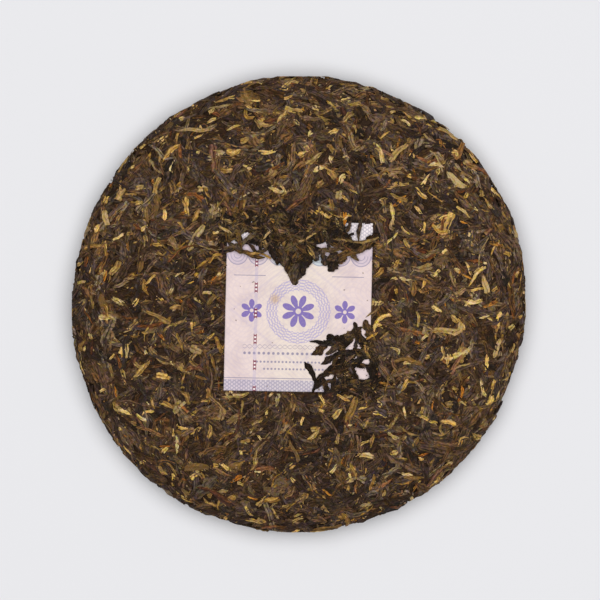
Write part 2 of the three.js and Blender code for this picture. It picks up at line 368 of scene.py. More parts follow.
@dataclass
class CakeForm:
    """The smooth uneven disc that the leaves are pressed to, in mm.

    Curves are the two powers of a shoulder, steps are those of the hollow, the flank and the face, and the
    outline's waves are how many go round, how high they are and where their first crest is, in degrees.
    """

    radius: float = 100.0
    crown: float = 21.0
    rim: float = 9.4
    relief: float = 0.5
    ring_inner: float = 31.0
    ring_outer: float = 76.0
    dimple: float = 9.5
    face_curve: Pair = (4.4, 0.5)
    back_curve: Pair = (2.6, 0.5)
    dimple_curve: Pair = (2.8, 1.6)
    outline_waves: tuple[tuple[int, float, float], ...] = (
        (2, 0.84, -111),
        (4, 0.23, -128),
        (5, 0.25, -136),
        (6, 0.14, -93),
        (8, 0.18, -27),
        (13, 0.12, 109),
    )
    swell: float = 0.016
    ragged: float = 0.42
    ragged_size: float = 19.0
    ragged_fade: float = 8.0
    steps: tuple[int, int, int] = (20, 26, 64)
    rows_at_once: int = 20000

    @staticmethod
    def shoulder(share: Array, curve: Pair) -> Array:
        """A shoulder from 1 in the middle to 0 at share 1: one less share to a power, all to another."""
        power, rounding = curve
        return (1 - np.clip(share, 0, 1) ** power) ** rounding

    def on_face(self, height: Array) -> Array:
        """True for heights over the middle between rim and crown, which only the face reaches."""
        return height > (self.rim + self.crown) / 2

    def face_height(self, radius: Array) -> Array:
        """The height of the domed face at a distance from the axis."""
        return self.rim + (self.crown - self.rim) * self.shoulder(radius / self.radius, self.face_curve)

    def back_height(self, radius: Array) -> Array:
        """The height of the back: a dimple, a flat ring and a flank that rises to the rim.

        Args:
            radius: distances from the axis.

        Returns:
            Heights over the table.
        """
        dimple = self.relief + self.dimple * self.shoulder(radius / self.ring_inner, self.dimple_curve)
        share = (radius - self.ring_outer) / (self.radius - self.ring_outer)
        flank = self.relief + (self.rim - self.relief) * (1 - self.shoulder(share, self.back_curve))
        return np.where(radius < self.ring_inner, dimple, flank)

    @cached_property
    def meridian(self) -> Array:
        """Points (radius, height) from the middle of the back round the rim to the crown."""
        dimple_steps, flank_steps, face_steps = self.steps
        hollow = np.linspace(0, self.ring_inner, dimple_steps, endpoint=False)
        flat = np.linspace(self.ring_inner, self.ring_outer, dimple_steps, endpoint=False)
        turn = np.sin(np.linspace(0, math.pi / 2, flank_steps))
        flank = self.ring_outer + (self.radius - self.ring_outer) * turn
        face = self.radius * np.cos(np.linspace(0, math.pi / 2, face_steps)[1:])
        face[-1] = 0
        below = np.concatenate([hollow, flat, flank])
        radii = np.concatenate([below, face])
        heights = np.concatenate([self.back_height(below), self.face_height(face)])
        return np.stack([radii, heights], axis=1)

    @cached_property
    def lengths(self) -> Array:
        """Distance along the meridian of each of its points."""
        return np.concatenate([[0], np.cumsum(np.linalg.norm(np.diff(self.meridian, axis=0), axis=1))])

    def nearest(self, points: Array) -> tuple[Array, Array]:
        """Drops points onto the smooth round form.

        Each point's (radius, height) is set against every straight step of the meridian, and the nearest
        foot is kept and turned back to the point's angle.

        Args:
            points: places in mm, one row each.

        Returns:
            The nearest places on the form and the outward directions there.
        """
        blocks = np.array_split(points, len(points) // self.rows_at_once + 1)
        places, directions = zip(*(self._nearest(block) for block in blocks))
        return np.concatenate(places), np.concatenate(directions)

    def _nearest(self, points: Array) -> tuple[Array, Array]:
        """Does the work of nearest for one block of rows.

        Args:
            points: places in mm, one row each.

        Returns:
            The nearest places on the form and the outward directions there.
        """
        radius = np.hypot(points[:, 0], points[:, 1])
        flat = np.stack([radius, points[:, 2]], axis=1)
        start = self.meridian[:-1]
        run = np.diff(self.meridian, axis=0)
        offset = flat[:, None] - start
        share = np.clip((offset * run).sum(axis=2) / (run * run).sum(axis=1), 0, 1)
        gap = offset - share[..., None] * run
        best = np.argmin((gap * gap).sum(axis=2), axis=1)
        rows = np.arange(len(points))
        foot = start[best] + share[rows, best][:, None] * run[best]
        along = unit(run[best])
        round_x = np.where(radius > ON_AXIS, points[:, 0] / np.maximum(radius, ON_AXIS), 1)
        round_y = np.where(radius > ON_AXIS, points[:, 1] / np.maximum(radius, ON_AXIS), 0)
        place = np.stack([foot[:, 0] * round_x, foot[:, 0] * round_y, foot[:, 1]], axis=1)
        out = np.stack([along[:, 1] * round_x, along[:, 1] * round_y, -along[:, 0]], axis=1)
        return place, out

    def swell_share(self, x: Array, y: Array) -> Array:
        """How much thicker than the true form the cake is, as a share: lumps and a slanting wave."""
        long = np.sin(x / 17 + 1.3) * np.cos(y / 23 + 0.4)
        return self.swell * (long + 0.6 * np.sin(x / 9 - y / 12 + 2))

    def uneven(self, points: Array) -> Array:
        """Takes points from the true round form to the uneven one.

        The outline widens by a sum of cosines round the rim, which fades to the middle with the square of
        the radius, and by short ripples near the rim alone. Heights are scaled by the swell.

        Args:
            points: places in mm, one row each.

        Returns:
            The moved places.
        """
        x, y, z = points.T
        angle = np.arctan2(y, x)
        distance = np.hypot(x, y)
        waves = self.outline_waves
        wider = sum(height * np.cos(number * angle + math.radians(turn)) for number, height, turn in waves)
        reach = np.minimum(1, distance / self.radius) ** 2
        near_rim = smooth_step((distance - self.radius) / self.ragged_fade + 1)
        ragged = self.ragged * ripples(points, RIM_SEED, self.ragged_size) * near_rim
        scale = 1 + (wider * reach + ragged) / self.radius
        return np.stack([x * scale, y * scale, z * (1 + self.swell_share(x, y))], axis=1)


@dataclass
class SlipPlace:
    """Where the slip lies: a rectangle on the face that dives under the leaves over two of its edges.

    A cover is where the leaves over it start, and over how many mm it then sinks: the upper one counts up
    the cake, the other towards its lower right corner.
    """

    form: CakeForm
    width: float = 63.8
    height: float = 74.3
    x: float = -0.2
    y: float = -1.2
    turn: float = -1.15
    sink_open: float = 0.4
    sink_covered: float = 1.7
    upper_cover: Pair = (7, 15)
    corner_cover: Pair = (26, 14)

    def local(self, x: Array, y: Array) -> tuple[Array, Array]:
        """Takes places on the cake to the slip's own directions, by a turn about its middle.

        Args:
            x: places across the cake.
            y: places up the cake.

        Returns:
            Distances across and up the slip from its middle.
        """
        angle = math.radians(self.turn)
        dx, dy = x - self.x, y - self.y
        return dx * math.cos(angle) + dy * math.sin(angle), dy * math.cos(angle) - dx * math.sin(angle)

    def on_cake(self, across: Array, up: Array) -> tuple[Array, Array]:
        """Takes distances from the slip's middle to places on the cake, by the same turn the other way.

        Args:
            across: distances across the slip.
            up: distances up the slip.

        Returns:
            Places across and up the cake.
        """
        angle = math.radians(self.turn)
        x = self.x + across * math.cos(angle) - up * math.sin(angle)
        return x, self.y + across * math.sin(angle) + up * math.cos(angle)

    def depth_inside(self, x: Array, y: Array) -> Array:
        """How far inside the slip's edge a place is; negative outside it."""
        across, up = self.local(x, y)
        return np.minimum(self.width / 2 - np.abs(across), self.height / 2 - np.abs(up))

    def covered(self, x: Array, y: Array) -> Array:
        """How far under the leaves the slip is.

        Args:
            x: places across the cake.
            y: places up the cake.

        Returns:
            Shares from 0 in the open to 1.
        """
        upper = smooth_step(y, *self.upper_cover)
        corner = smooth_step((x - y) * math.sqrt(0.5), *self.corner_cover)
        return np.maximum(upper, corner)

    def sink(self, x: Array, y: Array) -> Array:
        """How far below the smooth face the slip lies."""
        return self.sink_open + (self.sink_covered - self.sink_open) * self.covered(x, y)


@dataclass(frozen=True)
class Openings:
    """Where the slip shows: outlines on the cake, and gaps as (x, y, half length, half width, turn)."""

    outlines: tuple[tuple[Pair, ...], ...] = (
        (
            (-33.2, 22.5), (-23, 20.2), (-12, 21.5), (-6.5, 16.5), (-1.8, 12.5), (3.5, 16.8), (9, 20.5),
            (18, 20.4), (27, 21.5), (33, 24.5), (32.2, -9), (25, -10.5), (17, -15), (11.5, -18.5),
            (11.5, -24), (8.5, -30), (6, -40), (-34.5, -40),
        ),
        ((20.8, 36.4), (33.2, 36.4), (33, 26.8), (23.4, 28.9)),
        ((27.3, -28.6), (29.8, -29.9), (28.5, -32.6), (26.4, -31.4)),
    )
    gaps: tuple[tuple[float, float, float, float, float], ...] = (
        (-30.0, 26.3, 2.0, 0.8, 10),
        (-23.6, 30.3, 1.5, 0.7, 50),
        (-19.2, 35.0, 0.9, 0.4, 40),
        (-21.9, 24.2, 2.4, 1.2, 35),
        (-16.5, 23.9, 1.1, 0.6, 50),
        (-13.6, 22.8, 1.0, 0.5, 25),
        (10.9, 26.4, 1.2, 0.7, -20),
        (15.4, 25.7, 1.1, 0.7, 30),
        (12.0, 21.2, 2.3, 0.6, 25),
        (18.9, 21.4, 1.9, 0.5, 20),
        (22.5, -18.6, 1.7, 0.9, 20),
        (22.8, -16.1, 0.8, 0.5, 0),
        (24.7, -14.5, 0.5, 0.5, 0),
        (28.0, -12.3, 0.4, 0.4, 0),
        (29.7, -14.7, 1.1, 0.7, 60),
        (26.7, -19.4, 0.6, 0.4, 0),
        (29.7, -24.6, 1.1, 0.6, -40),
        (16.8, -22.7, 0.5, 0.4, 0),
        (22.5, -22.4, 0.8, 0.4, -30),
        (29.1, -38.2, 0.9, 0.6, 0),
        (13.2, -31.9, 1.9, 0.7, 105),
        (14.9, -29.0, 0.6, 0.5, 0),
        (13.5, -35.5, 0.9, 0.6, 60),
        (10.2, -37.6, 1.2, 0.7, 50),
        (17.4, -35.4, 0.6, 0.4, 0),
    )

    def within(self, x: Array, y: Array) -> Array:
        """True where a place is in an outline, by counting edges crossed, or in a gap's ellipse.

        Args:
            x: places across the cake.
            y: places up the cake.

        Returns:
            An array of truths of the same form.
        """
        inside = np.zeros(np.shape(x), dtype=bool)
        for outline in self.outlines:
            crossed = np.zeros(np.shape(x), dtype=bool)
            for (x0, y0), (x1, y1) in zip(outline, outline[1:] + outline[:1]):
                if y0 == y1:
                    continue
                crossed ^= ((y0 > y) != (y1 > y)) & (x < (x1 - x0) * (y - y0) / (y1 - y0) + x0)
            inside |= crossed
        for middle_x, middle_y, half_length, half_width, turn in self.gaps:
            angle = math.radians(turn)
            dx, dy = x - middle_x, y - middle_y
            along = (dx * math.cos(angle) + dy * math.sin(angle)) / half_length
            aside = (dy * math.cos(angle) - dx * math.sin(angle)) / half_width
            inside |= along * along + aside * aside < 1
        return inside


class Section(Enum):
    """Outlines across a leaf, from its left edge over the top.

    Each point has its share of half the width, its share of half the thickness, and its painted light:
    high for a painted highlight on a crest, low for painted shade in a groove, at an edge or underneath.
    """

    FOLDED = ((-1, 0, 0.35), (-0.55, 0.9, 1), (0.05, 0.1, 0), (0.5, 0.8, 0.9), (1, 0, 0.3), (0, -0.9, 0.2))
    ROLLED = ((-1, 0, 0.2), (-0.6, 0.7, 0.3), (-0.15, 1, 1), (0.4, 0.75, 0.1), (1, 0, 0.75), (0, -0.9, 0.2))
    SPREAD = (
        (-1, 0.8, 1), (-0.55, 0.25, 0.4), (0, 0.65, 0.9), (0.55, 0.2, 0.3),
        (1, 0.7, 0.9), (0.55, -0.5, 0.2), (0, -0.1, 0.2), (-0.55, -0.45, 0.2),
    )
    WRINKLED = (
        (-1, 0, 0.3), (-0.72, 0.8, 0.95), (-0.42, 0.25, 0.05), (-0.05, 0.95, 0.9),
        (0.3, 0.2, 0), (0.66, 0.8, 1), (1, 0, 0.3), (0, -0.9, 0.2),
    )
    CHIP = ((-1, 0, 0.5), (0, 1, 1), (1, 0, 0.5), (0, -1, 0.5))


@dataclass(frozen=True)
class LeafFinish:
    """The look of one sort of leaf: sRGB colours from its darkest to its lightest, and its gloss.

    Numbers like streaks say how far each layer moves the tone. A grain is lumps for each mm along the leaf
    and across it, and an edge is where a mask is a half and how wide its change is.
    """

    name: str
    tones: tuple[Colour, ...]
    roughness: float = 0.6
    gloss: float = 0.15
    streaks: float = 2.6
    mottling: float = 1.0
    # How far the painted highlight on the section's crests and the painted shade in its grooves move the
    # tone.
    ridges: float = 0.3
    # How much painted shade darkens leaves that lie deeper under the smooth form.
    depth_shading: float = 0.15
    wrinkle_depth: float = 0.9
    cool: Triple = (0.9, 1.02, 1.4)
    warm: Triple = (1.14, 0.97, 0.67)
    fleck: Triple = (0.7, 0.4, 2.6)
    fleck_grain: float = 0.7
    # How much painted shade darkens thin crease lines, and the section's grooves and edges.
    creases: float = 0.4
    edges: float = 0.34
    streak_grain: Triple = (0.4, 1.6, 1)
    wrinkle_grain: Triple = (0.7, 1.9, 1)
    crease_grain: Triple = (0.12, 0.6, 1)
    mottle_grain: float = 0.5
    crease_edge: Pair = (0.03, 0.045)
    groove_edge: Pair = (0.26, 0.24)
    rough_swing: float = 0.6

    def material(self) -> bpy.types.Material:
        """Makes the finish: streaks along the leaf, mottling, painted highlights and painted shade, and a
        fine wrinkled bump.

        The tone picks a colour between the sort's own, which a tint from cool to warm and flecks multiply.

        Returns:
            The material.
        """
        graph = Graph(self.name)
        along = graph.uv()
        streak = graph.noise(graph.scaled(along, self.streak_grain), 1.0, 3.0, 0.7) - 0.5
        mottle = graph.noise(graph.place(), self.mottle_grain, 3.0) - 0.5
        wrinkle = graph.noise(graph.scaled(along, self.wrinkle_grain), 1.0, 3.0, 0.65) - 0.5
        tone = graph.mark("tone") + streak * self.streaks + mottle * self.mottling
        # Painted highlight on crests and painted shade in grooves, then painted shade on leaves that lie
        # deeper.
        tone = tone + (graph.mark("ridge") - 0.5) * self.ridges - graph.mark("deep") * self.depth_shading
        crease = graph.noise(graph.scaled(along, self.crease_grain), 1.0, 1.0) - 0.5
        crease = crease.line(*self.crease_edge)
        # Painted shade along thin crease lines and in the section's grooves and at its edges.
        tone = tone - crease * self.creases - graph.mark("ridge").below(*self.groove_edge) * self.edges
        last = len(self.tones) - 1
        stops = [(i / last, colour) for i, colour in enumerate(self.tones)]
        colour = graph.node("ShaderNodeValToRGB", {"stops": stops}, {0: tone}, "Color")
        tints = {0: graph.mark("warmth"), VECTOR_A: self.cool, VECTOR_B: self.warm}
        tint = graph.node("ShaderNodeMix", {"data_type": "VECTOR"}, tints, VECTOR_RESULT)
        cloud = {"Vector": graph.place(), "Scale": self.fleck_grain, "Detail": 2.0}
        flecks = graph.node("ShaderNodeTexNoise", None, cloud, "Color")
        least = tuple(1 - part / 2 for part in self.fleck)
        spread = {0: flecks, 1: self.fleck, 2: least}
        flecks = graph.node("ShaderNodeVectorMath", {"operation": "MULTIPLY_ADD"}, spread)
        colour = graph.mix(graph.mix(colour, tint, 1.0, "MULTIPLY"), flecks, 1.0, "MULTIPLY")
        height = wrinkle + streak
        roughness = self.roughness + wrinkle * self.rough_swing
        sockets = {"Base Color": colour, "Roughness": roughness, "Specular IOR Level": self.gloss}
        return graph.finish({**sockets, "Normal": graph.bump(height, self.wrinkle_depth)})


@dataclass(frozen=True)
class Reach:
    """A leaf placed one by one: its root and tip on the cake, its width, and how far it bows aside, in mm.
    """

    root: Pair
    tip: Pair
    width: float
    bow: float = 0.0


@dataclass(frozen=True)
class LeafSort:
    """One sort of leaf: how many there are, the sizes that they are drawn from in mm, and how they lie.

    Pairs are the least and the most. The crest is the height of the upper side over the smooth form.
    """

    finish: LeafFinish
    count: int
    covers: int
    length: Pair
    width: Pair
    flatness: Pair
    crest: Pair
    section: Section = Section.FOLDED
    rings: int = 8
    bend: float = 0.05
    blunt: float = 0.3
    back_share: float = 0.62
    uneven: float = 0.14
    placed: tuple[Reach, ...] = ()


@dataclass
class LeafRows:
    """Arrays with one row for each leaf: where its middle is, where it heads, and its sizes in mm."""

    centre: Array
    heading: Array
    length: Array
    width: Array
    thickness: Array
    crest: Array
    bend: Array
    over: Array

    def kept(self, keep: Array) -> "LeafRows":
        """The rows where keep is true."""
        return replace(self, **{name: value[keep] for name, value in vars(self).items()})

    def upright(self) -> "LeafRows":
        """The same rows with their plain numbers as columns, which spread along the leaves."""
        numbers = {name: value for name, value in vars(self).items() if value.ndim == 1}
        return replace(self, **{name: value[:, None] for name, value in numbers.items()})

    @classmethod
    def joined(cls, parts: list["LeafRows"]) -> "LeafRows":
        """All rows of several tables."""
        names = vars(parts[0])
        return cls(**{name: np.concatenate([getattr(part, name) for part in parts]) for name in names})


@dataclass(frozen=True)
class LeafHabit:
    """How far single leaves stray from a straight, even strip.

    Pairs are the least and the most that is drawn, and a lone number is the most either way or the spread.
    Waver and kinks are shares of the length, and roughness and lobes are shares of half the width or
    half the thickness.
    """

    length_crowding: float = 1.6
    width_crowding: float = 1.3
    sharpest_bend: float = 0.45
    kinked: float = 0.16
    kink: float = 0.5
    kink_place: float = 0.6
    waver: float = 0.025
    blunt_power: Pair = (5, 12)
    pointed_power: Pair = (1.3, 3.4)
    blunt_tip: Pair = (0.5, 1.0)
    pointed_tip: Pair = (0.05, 0.25)
    taper: float = 0.35
    rough_edge: float = 0.6
    narrowest: float = 0.05
    twist: float = 2.6
    roll: float = 0.2
    roll_by_twist: float = 0.12
    roughness: float = 0.11
    lobe_shift: float = 0.25
    lobe_trade: float = 0.4
    # How far the painted highlight moves to the lobe that the twist raises.
    light_trade: float = 0.35
    tilt: float = 0.12
    dive: float = 0.7
    tone_peak: float = 1.3
    slant: float = 0.18
    patch_shift: float = 400.0
    girth: float = 2.3
    # How far under the smooth form a leaf lies when its painted shade is full.
    deepest: float = 1.2


@dataclass
class LeafPress:
    """Draws leaves all over the form and over the slip's covered parts.

    Highest is the least and the most of the limits that leaves are pressed down to. A zone is how far from
    the axis it starts and how wide it is.
    """

    form: CakeForm
    slip: SlipPlace
    openings: Openings
    habit: LeafHabit = LeafHabit()
    highest: Pair = (0.25, 0.95)
    rim_rise: float = 0.6
    rim_tilt: float = 2.5
    rim_zone: Pair = (92, 6)
    rim_order: float = 0.7
    rim_order_zone: Pair = (80, 15)
    rim_turn: float = 0.4
    follow_share: float = 0.45
    follow_turn: float = 0.55
    paper_gap: float = 0.18
    paper_sag: float = 0.12
    paper_margin: float = 0.9
    edge_reach: float = 3.0
    cover_tries: int = 9
    cover_length: float = 13.0
    covered_least: float = 0.3

    def spots(self, rng: np.random.Generator, count: int, back_share: float) -> tuple[Array, Array, Array]:
        """Spots spread evenly over the form, each a golden angle round from the last.

        The distance along the meridian is read where the area so far reaches an even share of the whole.

        Args:
            rng: what the small shifts are drawn from.
            count: how many spots.
            back_share: how much thinner they lie on the back than on the face.

        Returns:
            The spots, and the directions round the cake and along its meridian there.
        """
        radii, heights = self.form.meridian.T
        middle = (radii[1:] + radii[:-1]) / 2
        rim_place = np.argmax(radii)
        flank_steps = 6
        weight = np.where(np.arange(len(middle)) < rim_place - flank_steps, back_share, 1.0)
        lengths = self.form.lengths
        area = np.concatenate([[0], np.cumsum(middle * np.diff(lengths) * weight)])
        share = (np.arange(count) + rng.random(count)) / count
        length = np.interp(share, area / area[-1], lengths)
        jitter = 0.05
        angle = np.arange(count) * GOLDEN_ANGLE + rng.uniform(0, 2 * math.pi) + rng.normal(0, jitter, count)
        radius = np.interp(length, lengths, radii)
        height = np.interp(length, lengths, heights)
        step = 0.2
        before, after = length - step, length + step
        ahead = np.interp(after, lengths, radii) - np.interp(before, lengths, radii)
        rise = np.interp(after, lengths, heights) - np.interp(before, lengths, heights)
        cos, sin = np.cos(angle), np.sin(angle)
        spots = np.stack([radius * cos, radius * sin, height], axis=1)
        around = np.stack([-sin, cos, np.zeros(count)], axis=1)
        along = unit(np.stack([ahead * cos, ahead * sin, rise], axis=1))
        return spots, around, along

    @staticmethod
    def flow(x: Array, y: Array) -> Array:
        """The angle that a loose bundle of leaves follows: a meandering sine and one that slants."""
        return 1.7 * np.sin(x / 13 + 0.8 * np.sin(y / 21) + 0.7) + 1.5 * np.sin(y / 14 - x / 29 + 2.1)

    def headings(
        self, rng: np.random.Generator, spots: Array, around: Array, along: Array
    ) -> tuple[Array, Array]:
        """Directions of leaves: along the rim near it, with the flow in loose bundles, or at random.

        A leaf in a bundle bends as the flow does: by half of how fast the flow turns along it.

        Args:
            rng: what they are drawn from.
            spots: the places.
            around: the directions round the cake there.
            along: the directions along the meridian there.

        Returns:
            One unit direction for each spot, and its bend.
        """
        count = len(spots)
        x, y = spots[:, 0], spots[:, 1]
        near_rim = self.rim_order * smooth_step(np.hypot(x, y), *self.rim_order_zone)
        round_turn = rng.normal(0, self.rim_turn, count)
        bundle = self.flow(x, y) + rng.normal(0, self.follow_turn, count)
        side = np.where(along[:, 0] * x + along[:, 1] * y < 0, 1.0, -1.0)
        bundle_turn = side * (bundle - np.arctan2(y, x) - math.pi / 2)
        any_turn = rng.uniform(0, 2 * math.pi, count)
        dice = rng.random(count)
        follows = (dice >= near_rim) & (dice > 1 - self.follow_share)
        turn = np.where(dice < near_rim, round_turn, np.where(follows, bundle_turn, any_turn))
        step = 2.0
        step_x, step_y = step * np.cos(bundle), step * np.sin(bundle)
        turning = (self.flow(x + step_x, y + step_y) - self.flow(x - step_x, y - step_y)) / (2 * step)
        headings = around * np.cos(turn)[:, None] + along * np.sin(turn)[:, None]
        return headings, follows * side * turning / -2

    @staticmethod
    def shade(spots: Array) -> Array:
        """How much lighter leaves are at a place: patches, a darker middle and rim, and a painted light
        slope.

        The slope is painted light: leaves are lighter to the upper right, as if lit from there.

        Args:
            spots: the places.

        Returns:
            What their tones gain, some of it negative.
        """
        x, y = spots[:, 0], spots[:, 1]
        radius = np.hypot(x, y)
        patches = 0.15 * ripples(spots, CLOUD_SEED, 46.0, 2) + 0.17 * ripples(spots, PATCH_SEED, 15.0, 2)
        lighter, darker = smooth_step(radius, 42, 26), smooth_step(radius, 88, 11)
        # The last two terms are a painted light slope, lighter to the upper right.
        return patches + (0.06 * lighter - 0.12 * darker) + 0.0008 * x + 0.0005 * y

    def draw(
        self,
        rng: np.random.Generator,
        sort: LeafSort,
        spots: Array,
        headings: Array,
        over: bool,
        follow: Array,
    ) -> LeafRows:
        """Draws the sizes of leaves of one sort.

        Args:
            rng: what they are drawn from.
            sort: the sort.
            spots: the leaves' middles.
            headings: the leaves' directions.
            over: whether they lie over the slip.
            follow: the bend of each that it has from its bundle.

        Returns:
            One row for each leaf.
        """
        count, habit = len(spots), self.habit

        def between(pair: Pair, power: float = 1.0) -> Array:
            """Numbers from the least of a pair to its most, crowded to the least where power is over 1."""
            return pair[0] + (pair[1] - pair[0]) * rng.random(count) ** power

        length = between(sort.length, habit.length_crowding)
        width = between(sort.width, habit.width_crowding)
        thickness = width * between(sort.flatness)
        crest = between(sort.crest)
        bend = rng.uniform(-1, 1, count) * sort.bend * (sort.length[0] / length)
        bend = np.clip(bend + follow, -habit.sharpest_bend / length, habit.sharpest_bend / length)
        return LeafRows(spots, headings, length, width, thickness, crest, bend, np.full(count, over))

    def free_rows(self, rng: np.random.Generator, sort: LeafSort) -> LeafRows:
        """Draws leaves over the whole cake, apart from those that the slip would hide.

        Args:
            rng: what they are drawn from.
            sort: the sort.

        Returns:
            One row for each leaf.
        """
        spots, around, along = self.spots(rng, sort.count, sort.back_share)
        headings, follow = self.headings(rng, spots, around, along)
        rows = self.draw(rng, sort, spots, headings, False, follow)
        inside = self.slip.depth_inside(spots[:, 0], spots[:, 1]) > self.edge_reach
        return rows.kept(~(inside & self.form.on_face(spots[:, 2])))

    def cover_rows(self, rng: np.random.Generator, sort: LeafSort) -> LeafRows:
        """Draws leaves over the covered parts of the slip that reach into none of its openings.

        Args:
            rng: what they are drawn from.
            sort: the sort.

        Returns:
            One row for each leaf: the first of many tries that are clear.
        """
        tries = self.cover_tries * sort.covers
        half_width = self.slip.width / 2 + self.edge_reach
        half_height = self.slip.height / 2 + self.edge_reach
        across = rng.uniform(-half_width, half_width, tries)
        up = rng.uniform(-half_height, half_height, tries)
        x, y = self.slip.on_cake(across, up)
        spots = np.stack([x, y, self.form.face_height(np.hypot(x, y))], axis=1)
        turn = rng.uniform(0, 2 * math.pi, len(x))
        headings = np.stack([np.cos(turn), np.sin(turn), np.zeros(len(x))], axis=1)
        rows = self.draw(rng, sort, spots, headings, True, np.zeros(len(x)))
        rows.length = np.minimum(rows.length, self.cover_length)
        clear = (self.slip.covered(x, y) > self.covered_least) & ~self.crosses(rows)
        return rows.kept(np.flatnonzero(clear)[: sort.covers])

    def placed_rows(self, sort: LeafSort) -> LeafRows:
        """The leaves that are placed one by one over the slip.

        A bow is the height of a parabola over the leaf's length, so the bend is four bows over its square.

        Args:
            sort: the sort.

        Returns:
            One row for each leaf.
        """
        root = np.array([leaf.root for leaf in sort.placed])
        tip = np.array([leaf.tip for leaf in sort.placed])
        width = np.array([leaf.width for leaf in sort.placed])
        x, y = ((root + tip) / 2).T
        length = np.linalg.norm(tip - root, axis=1)
        flat = np.zeros((len(x), 1))
        spots = np.stack([x, y, self.form.face_height(np.hypot(x, y))], axis=1)
        headings = unit(np.concatenate([tip - root, flat], axis=1))
        bend = 4 * np.array([leaf.bow for leaf in sort.placed]) / length**2
        crest = np.full(len(x), sort.crest[1])
        over = np.full(len(x), True)
        return LeafRows(spots, headings, length, width, width * sort.flatness[1], crest, bend, over)

    def crosses(self, rows: LeafRows) -> Array:
        """Tells leaves that would reach into an opening, tested along their middle and both sides.

        Args:
            rows: the leaves.

        Returns:
            True for each that would.
        """
        head_x, head_y = rows.heading[:, 0], rows.heading[:, 1]
        found = np.zeros(len(rows.length), dtype=bool)
        for along in np.linspace(-0.5, 0.5, 9):
            for aside in (-0.55, 0, 0.55):
                x = rows.centre[:, 0] + head_x * rows.length * along - head_y * rows.width * aside
                y = rows.centre[:, 1] + head_y * rows.length * along + head_x * rows.width * aside
                found |= self.openings.within(x, y)
        return found

    def clear_of_slip(self, height: Array, x: Array, y: Array, z: Array, over: Array) -> Array:
        """Keeps leaves over the slip above it, and all others below it.

        Args:
            height: heights over the smooth form.
            x: places across the cake.
            y: places up the cake.
            z: heights of the smooth form, which tell the face from the back.
            over: true for leaves that lie over the slip.

        Returns:
            The heights, limited within a margin round the slip.
        """
        near = (self.slip.depth_inside(x, y) > -self.paper_margin) & self.form.on_face(z)
        sink = self.slip.sink(x, y)
        under = np.minimum(height, -sink - self.paper_gap - self.paper_sag)
        above = np.maximum(height, -sink + self.paper_gap)
        return np.where(near, np.where(over, above, under), height)

    def layer(self, name: str, sort: LeafSort, seed: int) -> MeshArrays:
        """All leaves of one sort.

        Args:
            name: what they are called in the log.
            sort: the sort.
            seed: what they are drawn from.

        Returns:
            Their mesh.
        """
        rng = np.random.default_rng(seed)
        tables = [self.free_rows(rng, sort), self.cover_rows(rng, sort)] if sort.count + sort.covers else []
        if sort.placed:
            tables.append(self.placed_rows(sort))
        rows = LeafRows.joined(tables)
        LOG.info("%s: %d leaves, %d of them over the slip", name, len(rows.length), int(rows.over.sum()))
        return LeafStrips(self, rng, rows, sort).arrays()


